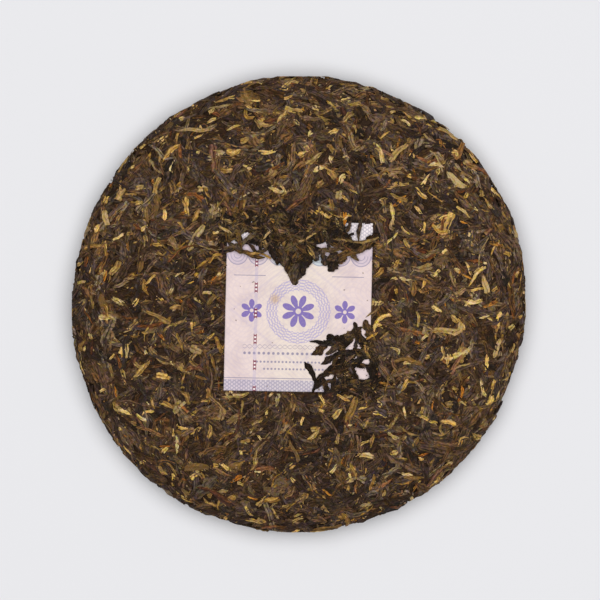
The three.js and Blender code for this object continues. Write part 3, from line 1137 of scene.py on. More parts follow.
@dataclass
class LeafStrips:
    """Leaves of one sort while they are pressed into closed strips, by steps that draw in a fixed order.

    Arrays of one number for each leaf and place along it have a row for each leaf, and the place runs from
    -1 to 1. Those of the section have a third direction round it.
    """

    press: "LeafPress"
    rng: np.random.Generator
    rows: LeafRows
    sort: LeafSort
    habit: LeafHabit = field(init=False)
    tall: LeafRows = field(init=False)
    count: int = field(init=False)
    outline: Array = field(init=False)
    place: Array = field(init=False)
    phase: Array = field(init=False)

    def __post_init__(self) -> None:
        """Works out what the steps share, and draws the phases of the sines along each leaf."""
        self.habit = self.press.habit
        self.tall = self.rows.upright()
        self.count = len(self.rows.length)
        self.outline = np.array(self.sort.section.value)
        self.place = np.linspace(-1, 1, self.sort.rings)[None, :]
        self.phase = self.rng.uniform(0, 2 * math.pi, (self.count, 3))[..., None]

    def either_way(self, most: float) -> Array:
        """One number for each leaf between less most and most."""
        return self.rng.uniform(-most, most, (self.count, 1))

    def middle_lines(self) -> tuple[Array, Array, Array, Array]:
        """Lays the middle lines on the form.

        A line is straight plus a parabola, a slow sine and in some leaves a kink to the side, and every
        point of it is dropped onto the form.

        Returns:
            Distances along the straight leaf, the points on the form, and the outward and sideways
            directions there.
        """
        rows, tall, habit, form = self.rows, self.tall, self.habit, self.press.form
        run = tall.length / 2 * self.place
        sweep = tall.bend * (run * run - tall.length**2 / 12)
        sweep = sweep + habit.waver * tall.length * np.sin(4 * self.place + self.phase[:, 0])
        kinked = (self.rng.random((self.count, 1)) < habit.kinked) & ~tall.over
        kink = np.where(kinked, self.either_way(habit.kink), 0)
        sweep = sweep + kink * tall.length * (np.abs(self.place - self.either_way(habit.kink_place)) - 0.5)
        _, up = form.nearest(rows.centre)
        side = np.cross(rows.heading, up)
        middle = rows.centre[:, None] + rows.heading[:, None] * run[..., None]
        middle = middle + side[:, None] * sweep[..., None]
        foot, out = (part.reshape(middle.shape) for part in form.nearest(middle.reshape(-1, 3)))
        ahead = unit(np.gradient(foot, axis=1))
        return run, foot, out, unit(np.cross(ahead, out))

    def widths(self) -> Array:
        """Draws how wide the leaves are along their length.

        The width is one less a power of the distance from the middle, over a least one at the tip, and
        tapers a little. Blunt ends have a high power and a wide tip.

        Returns:
            Shares of the full width.
        """
        rng, habit, ends = self.rng, self.habit, (self.count, 2)
        blunt = rng.random(ends) < self.sort.blunt
        powers = (rng.uniform(*pair, ends) for pair in (habit.blunt_power, habit.pointed_power))
        power = np.where(blunt, *powers)
        tips = (rng.uniform(*pair, ends) for pair in (habit.blunt_tip, habit.pointed_tip))
        tip = np.where(blunt, *tips)
        power, tip = (np.where(self.place > 0, part[:, 1:], part[:, :1]) for part in (power, tip))
        wide = tip + (1 - tip) * (1 - np.abs(self.place) ** power)
        taper = 1 + self.either_way(habit.taper) * self.place
        rough_edge = rng.normal(0, habit.rough_edge, (self.count, self.sort.rings))
        wave = np.sin(5.2 * self.place + self.phase[:, 1])
        return np.maximum(wide * taper * (1 + self.sort.uneven * (wave + rough_edge)), habit.narrowest)

    def cross_sections(self, wide: Array) -> tuple[Array, Array, Array]:
        """Stands the section across each leaf, rolled a little and roughened.

        A slow twist along the leaf moves the section's lobes aside and trades height and painted light
        between them.

        Args:
            wide: shares of the full width.

        Returns:
            How far aside and how far up each point is, and its painted light.
        """
        rng, habit = self.rng, self.habit
        half_width = self.tall.width / 2 * wide
        half_thick = self.tall.thickness / 2 * np.sqrt(wide)
        twist = self.either_way(habit.twist) * self.place + self.phase[:, 2]
        roll = rng.normal(0, habit.roll, (self.count, 1)) + habit.roll_by_twist * np.sin(twist)
        rough = rng.normal(0, habit.roughness, (*wide.shape, len(self.outline), 2))
        twist_sin, twist_cos = np.sin(twist)[..., None], np.cos(twist)[..., None]
        across, up, light = self.outline.T
        share_x = across + habit.lobe_shift * (1 - np.abs(across)) * twist_sin + rough[..., 0]
        share_z = up * (1 + habit.lobe_trade * across * twist_cos) + rough[..., 1]
        wide_x, thick_z = share_x * half_width[..., None], share_z * half_thick[..., None]
        cos, sin = np.cos(roll)[..., None], np.sin(roll)[..., None]
        # Painted light: the section's own, moved with the twist to the lobe that rises.
        ridge = light * (1 + habit.light_trade * across * twist_cos)
        return wide_x * cos - thick_z * sin, wide_x * sin + thick_z * cos, ridge

    def heights(self, rise: Array) -> Array:
        """Presses the leaves level: heights over the form are squeezed by a hyperbolic tangent.

        Leaves tilt, and their ends dive by the cube of the distance from the middle. Near the rim they
        tilt more, and some stand out further.

        Args:
            rise: how far up each point is from the middle of its leaf.

        Returns:
            Heights over the form.
        """
        rng, press = self.rng, self.press
        x, y = self.rows.centre[:, :1], self.rows.centre[:, 1:2]
        near_rim = smooth_step(np.hypot(x, y), *press.rim_zone)
        tilt = rng.normal(0, self.habit.tilt, (self.count, 1)) * (1 + press.rim_tilt * near_rim)
        dive = rng.uniform(0.0, self.habit.dive, (self.count, 1)) * np.abs(self.place) ** 3
        dive = dive + tilt * self.place - press.rim_rise * near_rim * rng.random((self.count, 1)) ** 2
        level = self.tall.crest - self.tall.thickness / 2 - dive
        height = level[..., None] + rise
        lowest, most = press.highest
        spread = most - lowest + press.rim_rise * near_rim[..., None]
        peak = lowest + spread * rng.random((self.count, 1, 1)) ** 2
        return np.where(height > 0, peak * np.tanh(height / peak), height)

    def faces(self) -> tuple[Array, Array]:
        """Joins the rings of every leaf by quads and closes its ends with one face each.

        Returns:
            The faces' corners in a row, and how many each face has.
        """
        rings, points = self.sort.rings, len(self.outline)
        start = np.arange(self.count)[:, None, None] * rings * points
        ring = start + np.arange(rings - 1)[None, :, None] * points
        here, after = np.arange(points), (np.arange(points) + 1) % points
        quads = np.stack([ring + here, ring + after, ring + points + after, ring + points + here], axis=3)
        first = (start[:, 0] + here[::-1]).reshape(-1)
        last = (start[:, 0] + (rings - 1) * points + here).reshape(-1)
        corners = np.concatenate([quads.reshape(-1), first, last])
        sizes = np.concatenate([np.full(quads[..., 0].size, 4), np.full(2 * self.count, points)])
        return corners, sizes

    def unrolled(self, run: Array) -> Array:
        """Unrolls each leaf to a patch of its own: along it and round it in mm, slanted a little.

        Args:
            run: distances along the leaves.

        Returns:
            The UV map of the corners that faces gives.
        """
        habit, points = self.habit, len(self.outline)
        shift = self.rng.uniform(0, habit.patch_shift, (self.count, 1, 1))
        slant = self.rng.normal(0, habit.slant, (self.count, 1, 1))
        girth = habit.girth * self.tall.width[..., None] * np.arange(points + 1) / points
        v = girth + shift + slant * run[..., None]
        u = np.broadcast_to(run[..., None] + shift, v.shape)
        grid = np.stack([u, v], axis=3)
        quads = np.stack([grid[:, :-1, :-1], grid[:, :-1, 1:], grid[:, 1:, 1:], grid[:, 1:, :-1]], axis=3)
        caps = [grid[:, 0, :-1][:, ::-1].reshape(-1, 2), grid[:, -1, :-1].reshape(-1, 2)]
        return np.concatenate([quads.reshape(-1, 2), *caps])

    def arrays(self) -> MeshArrays:
        """Carries the sections along the middle lines and marks each point for the finish.

        Returns:
            The mesh of all the leaves.
        """
        run, foot, out, across = self.middle_lines()
        aside, rise, ridge = self.cross_sections(self.widths())
        height = self.heights(rise)
        spot = foot[:, :, None] + across[:, :, None] * aside[..., None]
        x, y, z = np.moveaxis(spot, 3, 0)
        height = self.press.clear_of_slip(height, x, y, z, self.tall.over[..., None])
        places = self.press.form.uneven((spot + out[:, :, None] * height[..., None]).reshape(-1, 3))
        places = np.clip(places, LOWEST, HIGHEST)

        peak = self.habit.tone_peak
        tone = self.rng.beta(peak, peak, self.count) + self.press.shade(self.rows.centre)
        corners, sizes = self.faces()
        uv = self.unrolled(run)
        marks = {
            "tone": tone[:, None, None],
            # Painted highlight on crests and painted shade in grooves, at edges and underneath.
            "ridge": ridge,
            # Painted shade that grows as a leaf lies deeper under the smooth form.
            "deep": np.clip(-height / self.habit.deepest, 0, 1),
            "warmth": self.rng.random((self.count, 1, 1)),
        }
        spread = {name: np.broadcast_to(mark, ridge.shape).reshape(-1) for name, mark in marks.items()}
        return MeshArrays(places, corners, sizes, uv, spread)


# The core is packed leaves, painted near black as the shade in the gaps between the leaves over it.
@dataclass
class PressedCore:
    """The dark mass that the leaves are pressed round, with a shallow bed under the slip."""

    form: CakeForm
    slip: SlipPlace
    depth: float = 1.5
    rough: float = 0.5
    rough_size: float = 5.0
    bed_depth: float = 0.6
    bed_fade: float = 1.5
    rows: int = 190
    columns: int = 400

    def arrays(self) -> MeshArrays:
        """Turns the meridian round the axis, sinks it under the leaves and roughens it.

        Returns:
            The closed mesh: rows of quads between two fans at the axis.
        """
        length = np.linspace(0, self.form.lengths[-1], self.rows)
        radii = np.interp(length, self.form.lengths, self.form.meridian[:, 0])
        heights = np.interp(length, self.form.lengths, self.form.meridian[:, 1])
        angle = np.linspace(0, 2 * math.pi, self.columns, endpoint=False)
        ring_radii, ring_heights = radii[1:-1, None], heights[1:-1, None]
        grid = np.broadcast_arrays(ring_radii * np.cos(angle), ring_radii * np.sin(angle), ring_heights)
        poles = [[0, 0, heights[0]], [0, 0, heights[-1]]]
        smooth = np.concatenate([np.stack(grid, axis=2).reshape(-1, 3), poles])
        place, out = self.form.nearest(smooth)
        depth = self.depth - self.rough * ripples(place, CORE_SEED, self.rough_size)
        x, y, z = place.T
        inside = smooth_step(self.slip.depth_inside(x, y), -self.bed_fade, self.bed_fade)
        inside = inside * self.form.on_face(z)
        depth = depth + (self.slip.sink(x, y) + self.bed_depth - depth) * inside
        places = self.form.uneven(place - out * depth[:, None])

        rings, columns = self.rows - 2, self.columns
        ring = np.arange(rings - 1)[:, None] * columns
        here, after = np.arange(columns), (np.arange(columns) + 1) % columns
        quads = np.stack([ring + here, ring + after, ring + columns + after, ring + columns + here], axis=2)
        pole = rings * columns
        first = np.stack([after, here, np.full(columns, pole)], axis=1)
        top = (rings - 1) * columns
        last = np.stack([top + here, top + after, np.full(columns, pole + 1)], axis=1)
        corners = np.concatenate([quads.reshape(-1), first.reshape(-1), last.reshape(-1)])
        sizes = np.concatenate([np.full(quads[..., 0].size, 4), np.full(2 * columns, 3)])
        return MeshArrays(places, corners, sizes, places[corners, :2])

    def material(self) -> bpy.types.Material:
        """Makes the finish of the packed leaves: near black as painted shade between the leaves, with short
        brown streaks.

        Returns:
            The material.
        """
        graph = Graph("packed_leaf")
        place = graph.place()
        streak = graph.noise(graph.scaled(place, (0.5, 1.9, 1.9)), 1.0, 3.0, 0.6)
        crumb = graph.noise(place, 1.6, 2.0)
        # Near-black stops: painted shade where the core shows between leaves.
        stops = [(0.3, (38, 26, 16)), (0.55, (54, 39, 28)), (0.75, (80, 61, 43))]
        tone = streak * 0.6 + crumb * 0.4
        colour = graph.node("ShaderNodeValToRGB", {"stops": stops}, {0: tone}, "Color")
        sockets = {"Base Color": colour, "Roughness": 0.8, "Specular IOR Level": 0.1}
        return graph.finish({**sockets, "Normal": graph.bump(crumb, 0.6)})

    def build(self) -> bpy.types.Object:
        """Makes the piece."""
        return self.arrays().make("pressed_core", self.material(), "pressed_tea", "tea_cake")


@dataclass
class PaperSlip:
    """The printed slip: a thin sheet that follows the face, faintly embossed by the leaves under it."""

    place: SlipPlace
    thickness: float = 0.14
    step: float = 0.62
    emboss: float = 0.09
    emboss_size: float = 7.0

    def arrays(self) -> MeshArrays:
        """Lays two grids of the sheet a thickness apart and closes them with walls.

        Returns:
            The closed mesh, with the distance across and up the slip from its middle as its UV map.
        """
        across_steps = round(self.place.width / self.step)
        up_steps = round(self.place.height / self.step)
        across = np.linspace(-0.5, 0.5, across_steps + 1) * self.place.width
        up = np.linspace(-0.5, 0.5, up_steps + 1) * self.place.height
        flat_across, flat_up = (part.reshape(-1) for part in np.meshgrid(across, up))
        x, y = self.place.on_cake(flat_across, flat_up)
        form = self.place.form
        z = form.face_height(np.hypot(x, y)) - self.place.sink(x, y)
        smooth = form.uneven(np.stack([x, y, z], axis=1))
        wave = self.emboss * ripples(smooth, SLIP_SEED, self.emboss_size)
        upper, lower = smooth.copy(), smooth.copy()
        upper[:, 2] += wave + self.thickness / 2
        lower[:, 2] += wave - self.thickness / 2

        columns = across_steps + 1
        row, column = np.arange(up_steps)[:, None] * columns, np.arange(across_steps)
        corner = row + column
        face = np.stack([corner, corner + 1, corner + columns + 1, corner + columns], axis=2).reshape(-1, 4)
        count = len(smooth)
        bottom, top = np.arange(columns), np.arange(columns) + up_steps * columns
        left = np.arange(up_steps + 1) * columns
        right = left + across_steps
        border = np.concatenate([bottom[:-1], right[:-1], top[:0:-1], left[:0:-1]])
        ahead = np.roll(border, -1)
        walls = np.stack([border + count, ahead + count, ahead, border], axis=1)
        faces = np.concatenate([face, face[:, ::-1] + count, walls])
        corners = faces.reshape(-1)
        print_place = np.tile(np.stack([flat_across, flat_up], axis=1), (2, 1))
        sizes = np.full(len(faces), 4)
        return MeshArrays(np.concatenate([upper, lower]), corners, sizes, print_place[corners])

    def build(self) -> bpy.types.Object:
        """Makes the piece."""
        return self.arrays().make("printed_slip", SlipPrint().material(), "slip_paper", "paper_slip")


@dataclass
class Sheet:
    """The slip's tree while it is painted: distances from its middle, and the colour so far."""

    graph: Graph
    across: Value
    up: Value
    colour: Value | Colour

    def paint(self, ink: Colour, share: Value) -> None:
        """Mixes an ink into the colour so far, by a share from 0 to 1."""
        self.colour = self.graph.mix(self.colour, ink, share)


@dataclass(frozen=True)
class SlipPrint:
    """The slip's finish: pale clouded paper under a plain lilac print, a woven thread and faint stains.

    The print is a ground of fine wavy lines, a rosette round a flower between two smaller flowers, a
    hanging row of scallops above, a chain line and rows of dots below, and a field of fine scales at
    either end. Sizes are mm from the slip's middle. A line is half its width and how soft its edge is, and
    a row of dots is how far up it is, its period and its reach.
    """

    pink: Colour = (232, 212, 207)
    cream: Colour = (235, 221, 205)
    dusk: Colour = (204, 184, 184)
    mint: Colour = (203, 226, 220)
    lilac: Colour = (170, 160, 200)
    blue: Colour = (176, 176, 208)
    purple: Colour = (118, 99, 172)
    grey: Colour = (122, 118, 150)
    red: Colour = (122, 28, 60)
    white: Colour = (244, 234, 234)
    stain: Colour = (196, 160, 112)
    speck: Colour = (104, 82, 66)
    line: Pair = (0.2, 0.25)
    fine_line: Pair = (0.16, 0.25)
    rule: Pair = (0.16, 0.2)
    soft: float = 0.3
    rosette_up: float = -2.0
    rosette_radius: float = 14.2
    rosette_waves: float = 12.0
    rosette_step: float = 1.3
    petals_radius: float = 7.4
    side_radius: float = 5.0
    side_across: float = 20.4
    lozenge_reach: float = 23.4
    scallop_up: float = 22.4
    scallop_width: float = 9.0
    field_up: float = 27.5
    scale_period: float = 2.1
    foot_rule: float = 31.5
    side_rules: Triple = (21.5, 13.4, 7.0)
    dot_rows: tuple[Triple, ...] = ((-20.6, 2.1, 24.0), (-24.3, 1.6, 19.0), (-27.4, 1.6, 15.0))
    chain_up: float = -17.7
    chain_period: float = 4.4
    chain_reach: float = 24.0
    thread_across: float = -18.6
    thread_width: float = 1.4
    thread_up: float = -3.2
    thread_period: float = 11.3
    thread_window: float = 2.3
    bead_period: float = 1.6
    blot_left: float = 10.4
    blot_up: float = 3.2
    blot_edge: Pair = (1.8, 2.6)
    band_height: float = 4.9
    half_height: float = 37.15

    @staticmethod
    def away(across: Value, up: Value) -> Value:
        """The distance from a point, given how far across and up from it."""
        return (across**2.0 + up**2.0) ** 0.5

    def petals(self, across: Value, up: Value, radius: float, count: int) -> Value:
        """A mask of petals round a ring: the radius swings with a sine of the angle.

        Args:
            across: distance across from the flower's middle.
            up: distance up from it.
            radius: reach of its petals.
            count: how many petals.

        Returns:
            1 on the petals and 0 beside them.
        """
        distance = self.away(across, up)
        swing = (up.math("ARCTAN2", up, across) * (count / 2)).sine().size()
        outer = distance.below((0.42 + 0.58 * swing) * radius, 0.35)
        heart = distance.below(0.3 * radius, 0.3)
        eye = distance.below(0.16 * radius, 0.3)
        return (outer * (1 - swing.below(0.3, 0.2)) * (1 - heart) + (heart - eye)).most(0.0)

    def rosette(self, across: Value, up: Value) -> Value:
        """Fine lines that wave round a ring, as if drawn by turning gears.

        Args:
            across: distance across from its middle.
            up: distance up from it.

        Returns:
            1 on the lines.
        """
        distance = self.away(across, up)
        wave = (up.math("ARCTAN2", up, across) * self.rosette_waves).sine() * 0.8
        first = (distance + wave).folded(self.rosette_step).below(*self.line)
        second = (distance - wave).folded(self.rosette_step).below(*self.line)
        disc = distance.below(self.rosette_radius, 0.4)
        return first.most(second) * (disc * (1 - distance.below(self.petals_radius + 1.6, 0.4)))

    def scales(self, across: Value, up: Value, period: float) -> Value:
        """A field of overlapping scales: rings round points in staggered rows.

        Args:
            across: distance across the slip.
            up: distance up it.
            period: how far apart the points of a row are.

        Returns:
            1 on the rings.
        """
        radius, ring = 0.33 * period, (0.09 * period, 0.25)
        first = self.away(across.folded(period), up.folded(0.76 * period))
        second = self.away((across + period / 2).folded(period), (up + 0.38 * period).folded(0.76 * period))
        return (first - radius).line(*ring).most((second - radius).line(*ring))

    def dots(self, across: Value, up: Value, row_up: float, period: float, reach: float) -> Value:
        """A row of dots with gaps as wide as they are, out to a reach on either side."""
        dot = self.away(across.folded(period), up - row_up)
        return dot.below(0.29 * period, self.soft) * across.line(reach, self.soft)

    def ground(self, sheet: Sheet, fibre: Value) -> None:
        """Paints the paper itself: pink at its sides, cream in its middle and clouded, under wavy lines.

        Args:
            sheet: what is painted.
            fibre: the noise of its fibres.
        """
        across, up = sheet.across, sheet.up
        cloud = sheet.graph.noise(sheet.graph.uv(), 0.1, 3.0, 0.6)
        sheet.paint(self.cream, across.line(15.0, 22.0) * (0.5 + cloud * 0.7))
        sheet.paint(self.dusk, (1 - cloud.below(0.54, 0.3)) * 0.5)
        first = (across * 0.9 + (up * 0.22).sine() * 5.0).folded(2.1).below(0.3, 0.5)
        second = (up * 0.9 + (across * 0.2).sine() * 4.0).folded(2.1).below(0.3, 0.5)
        sheet.paint(self.lilac, first.most(second) * (0.06 + 0.16 * cloud))
        lozenge = (across.size() * 0.8 + (up + 2.0).size() - self.lozenge_reach).line(0.7, 0.9)
        sheet.paint(self.lilac, lozenge * 0.16)
        sheet.paint(self.dusk, (fibre - 0.35) * 0.5)

    def ends(self, sheet: Sheet) -> None:
        """Prints what fills the slip's ends: scallops under a field of scales, and a band of them below.

        Args:
            sheet: what is painted.
        """
        across, up = sheet.across, sheet.up
        hang = self.away(across.folded(self.scallop_width), (up - self.scallop_up).least(0.0))
        reach = self.scallop_width / 2
        inside = hang.below(reach, self.soft)
        sheet.paint(self.mint, inside * across.line(11.0, 6.0) * up.below(self.scallop_up, 2.0) * 0.75)
        sheet.paint(self.lilac, inside * 0.3)
        lines = (hang - reach + 0.2).line(*self.line).most((hang - reach + 1.5).line(0.13, 0.25))
        lines = lines.most((hang - 0.36 * reach).line(*self.fine_line))
        sheet.paint(self.grey, lines * up.below(self.scallop_up + 0.2, self.soft) * 0.6)
        band = 1 - up.below(self.field_up, self.soft)
        foot = up.below(self.band_height - self.half_height, 0.25)
        sheet.paint(self.white, band * 0.9)
        sheet.paint(self.blue, foot * 0.34)
        scales = self.scales(across, up, self.scale_period)
        sheet.paint(self.grey, scales * (band * 0.42).most(foot * 0.5))

    def flowers(self, sheet: Sheet, ink: Value) -> None:
        """Prints the rosette, the flower in it and the two beside it.

        Args:
            sheet: what is painted.
            ink: how strong the ink is.
        """
        across, up = sheet.across, sheet.up - self.rosette_up
        sheet.paint(self.lilac, self.rosette(across, up) * 0.8)
        large = self.petals(across, up, self.petals_radius, 8)
        small = self.petals(across.size() - self.side_across, up, self.side_radius, 6)
        sheet.paint(self.purple, large.most(small) * ink)

    def lines(self, sheet: Sheet, ink: Value) -> None:
        """Prints the rules, the rows of dots and the chain line, which is two sines that cross.

        Args:
            sheet: what is painted.
            ink: how strong the ink is.
        """
        across, up = sheet.across, sheet.up
        side_across, side_up, side_reach = self.side_rules
        side = (up - side_up).line(*self.rule) * (across.size() - side_across).line(side_reach, self.soft)
        marks = (up + self.foot_rule).line(*self.rule).most(side)
        for row in self.dot_rows:
            marks = marks.most(self.dots(across, up, *row))
        sheet.paint(self.grey, marks * ink * 0.85)
        swing = (across * (2 * math.pi / self.chain_period)).sine() * 0.8
        chain = (up - self.chain_up - swing).line(*self.fine_line)
        chain = chain.most((up - self.chain_up + swing).line(*self.fine_line))
        sheet.paint(self.grey, chain * across.line(self.chain_reach, self.soft) * 0.5)

    def thread(self, sheet: Sheet) -> None:
        """Prints the thread: red with pale beads where it shows, and a faint line where it is hidden.

        Args:
            sheet: what is painted.
        """
        aside = (sheet.across - self.thread_across).size()
        along = (sheet.up - self.thread_up).folded(self.thread_period)
        window = along.below(self.thread_window, self.soft)
        body = aside.below(self.thread_width / 2, 0.15) * window
        sheet.paint(self.lilac, aside.below(self.thread_width / 2, self.soft) * (1 - window) * 0.3)
        sheet.paint(self.red, body * 0.88)
        bead = aside.most((along - self.bead_period / 2).folded(self.bead_period)).below(0.38, 0.2)
        sheet.paint(self.white, bead * body)

    def stains(self, sheet: Sheet, fibre: Value) -> None:
        """Soils the paper with a brown blot and dark specks.

        Args:
            sheet: what is painted.
            fibre: the noise of its fibres, which frays the blot.
        """
        blot = self.away(sheet.across + self.blot_left, sheet.up - self.blot_up) + (fibre - 0.5) * 3.0
        sheet.paint(self.stain, blot.below(*self.blot_edge) * 0.6)
        speck = sheet.graph.noise(sheet.graph.uv(), 0.42, 1.0)
        sheet.paint(self.speck, (1 - speck.below(0.77, 0.03)) * 0.7)

    def material(self) -> bpy.types.Material:
        """Makes the finish, layer over layer.

        Returns:
            The material.
        """
        graph = Graph("slip_paper")
        across = graph.node("ShaderNodeSeparateXYZ", None, {"Vector": graph.uv()}, "X")
        up = graph.node("ShaderNodeSeparateXYZ", None, {"Vector": graph.uv()}, "Y")
        fibre = graph.noise(graph.uv(), 1.1, 4.0, 0.6)
        ink = 0.78 + fibre * 0.3
        sheet = Sheet(graph, across, up, self.pink)
        self.ground(sheet, fibre)
        self.ends(sheet)
        self.flowers(sheet, ink)
        self.lines(sheet, ink)
        self.thread(sheet)
        self.stains(sheet, fibre)
        sockets = {"Base Color": sheet.colour, "Roughness": 0.82}
        return graph.finish({**sockets, "Normal": graph.bump(fibre, 0.05)})


@dataclass
class Studio:
    """A plain pale floor, a broad soft light overhead and a camera that looks straight down.

    Sizes of the floor and the light are in metres, and those of the camera's view in mm.
    """

    floor_size: float = 6.0
    floor_drop: float = 5e-5
    floor_colour: Colour = (226, 226, 229)
    look_x: float = 0.53
    look_y: float = 1.76
    camera_height: float = 2000.0
    frame_width: float = 264.0
    rim_level: float = 10.0
    sensor_width: float = 36.0
    light_x: float = 0.1
    light_y: float = 0.15
    light_height: float = 2.4
    light_width: float = 4.0
    light_power: float = 90.0
    sky_strength: float = 0.15

    def floor(self) -> None:
        """Adds the floor just under the cake."""
        half, level = self.floor_size / 2, -self.floor_drop
        mesh = bpy.data.meshes.new("floor")
        corners = [(-half, -half, level), (half, -half, level), (half, half, level), (-half, half, level)]
        mesh.from_pydata(corners, [], [(0, 1, 2, 3)])
        graph = Graph("floor_paper")
        mesh.materials.append(graph.finish({"Base Color": linear(self.floor_colour), "Roughness": 0.9}))
        floor = bpy.data.objects.new("floor", mesh)
        bpy.context.scene.collection.objects.link(floor)

    def lights(self) -> None:
        """Adds the overhead light and an even sky."""
        light = bpy.data.lights.new("overhead", "AREA")
        light.shape = "DISK"
        light.size = self.light_width
        light.energy = self.light_power
        lamp = bpy.data.objects.new("overhead", light)
        lamp.location = (self.light_x, self.light_y, self.light_height)
        bpy.context.scene.collection.objects.link(lamp)
        world = bpy.data.worlds.new("studio")
        world.use_nodes = True
        background = world.node_tree.nodes["Background"]
        background.inputs["Color"].default_value = (1.0, 1.0, 1.0, 1.0)
        background.inputs["Strength"].default_value = self.sky_strength
        bpy.context.scene.world = world
        bpy.context.scene.view_settings.view_transform = "Standard"

    def camera(self) -> None:
        """Adds the camera, whose frame is frame_width across at the level of the rim."""
        data = bpy.data.cameras.new("camera")
        data.sensor_width = self.sensor_width
        data.lens = data.sensor_width * (self.camera_height - self.rim_level) / self.frame_width
        camera = bpy.data.objects.new("camera", data)
        camera.location = (self.look_x * MM, self.look_y * MM, self.camera_height * MM)
        bpy.context.scene.collection.objects.link(camera)
        bpy.context.scene.camera = camera

    def build(self) -> None:
        """Sets the stage."""
        self.camera()
        self.floor()
        self.lights()


DARK = LeafFinish(
    "dark_leaf", ((54, 39, 28), (70, 53, 40), (84, 65, 49), (100, 77, 58), (128, 102, 74)), streaks=1.0
)
BROWN = LeafFinish(
    "brown_leaf", ((57, 40, 27), (82, 58, 39), (101, 74, 50), (124, 92, 61), (158, 122, 80)), streaks=1.1
)
OLIVE = LeafFinish(
    "olive_leaf", ((58, 45, 31), (80, 64, 47), (103, 83, 59), (130, 106, 74), (172, 144, 100)), streaks=1.2
)
GOLDEN = LeafFinish(
    "golden_bud", ((126, 95, 48), (200, 165, 95), (250, 221, 150)),
    0.5, 0.3, 1.8, 1.2, 0.3, 0.3, cool=(0.97, 1.0, 1.12), creases=0.24, edges=0.24,
)
PALE = LeafFinish(
    "pale_leaf", ((84, 66, 41), (137, 112, 72), (203, 172, 114)),
    0.5, 0.3, 1.6, 1.2, 0.3, 0.3, cool=(0.95, 1.0, 1.2), creases=0.24, edges=0.22,
)
TAN = LeafFinish(
    "tan_cut", ((118, 91, 53), (167, 139, 88), (211, 182, 122)),
    0.55, 0.25, 1.0, 0.9, 0.25, 0.2, cool=(0.96, 1.0, 1.15), creases=0.24, edges=0.22,
)
RUSSET = LeafFinish(
    "russet_stem", ((56, 32, 20), (92, 56, 35), (130, 83, 50), (172, 120, 73)), 0.5, 0.25, 1.1, 1.0
)
AMBER = LeafFinish("amber_stem", ((92, 51, 20), (156, 96, 34), (224, 154, 52)), 0.45, 0.3)
BROAD = LeafFinish("broad_leaf", ((34, 25, 16), (58, 43, 31), (82, 63, 43), (120, 96, 62)), 0.5, 0.2, 2.2)
CRUMB = LeafFinish("leaf_crumb", ((54, 38, 22), (120, 92, 55), (202, 166, 106)))
OVER = LeafFinish("covering_leaf", ((28, 20, 13), (45, 34, 24), (66, 51, 35), (116, 92, 55)), 0.5)
REACH = LeafFinish("reaching_leaf", ((31, 23, 17), (50, 38, 28), (70, 54, 39), (112, 89, 58)), 0.5)
STRAND = LeafFinish("golden_strand", ((66, 49, 27), (130, 101, 54), (196, 158, 91)), 0.5)

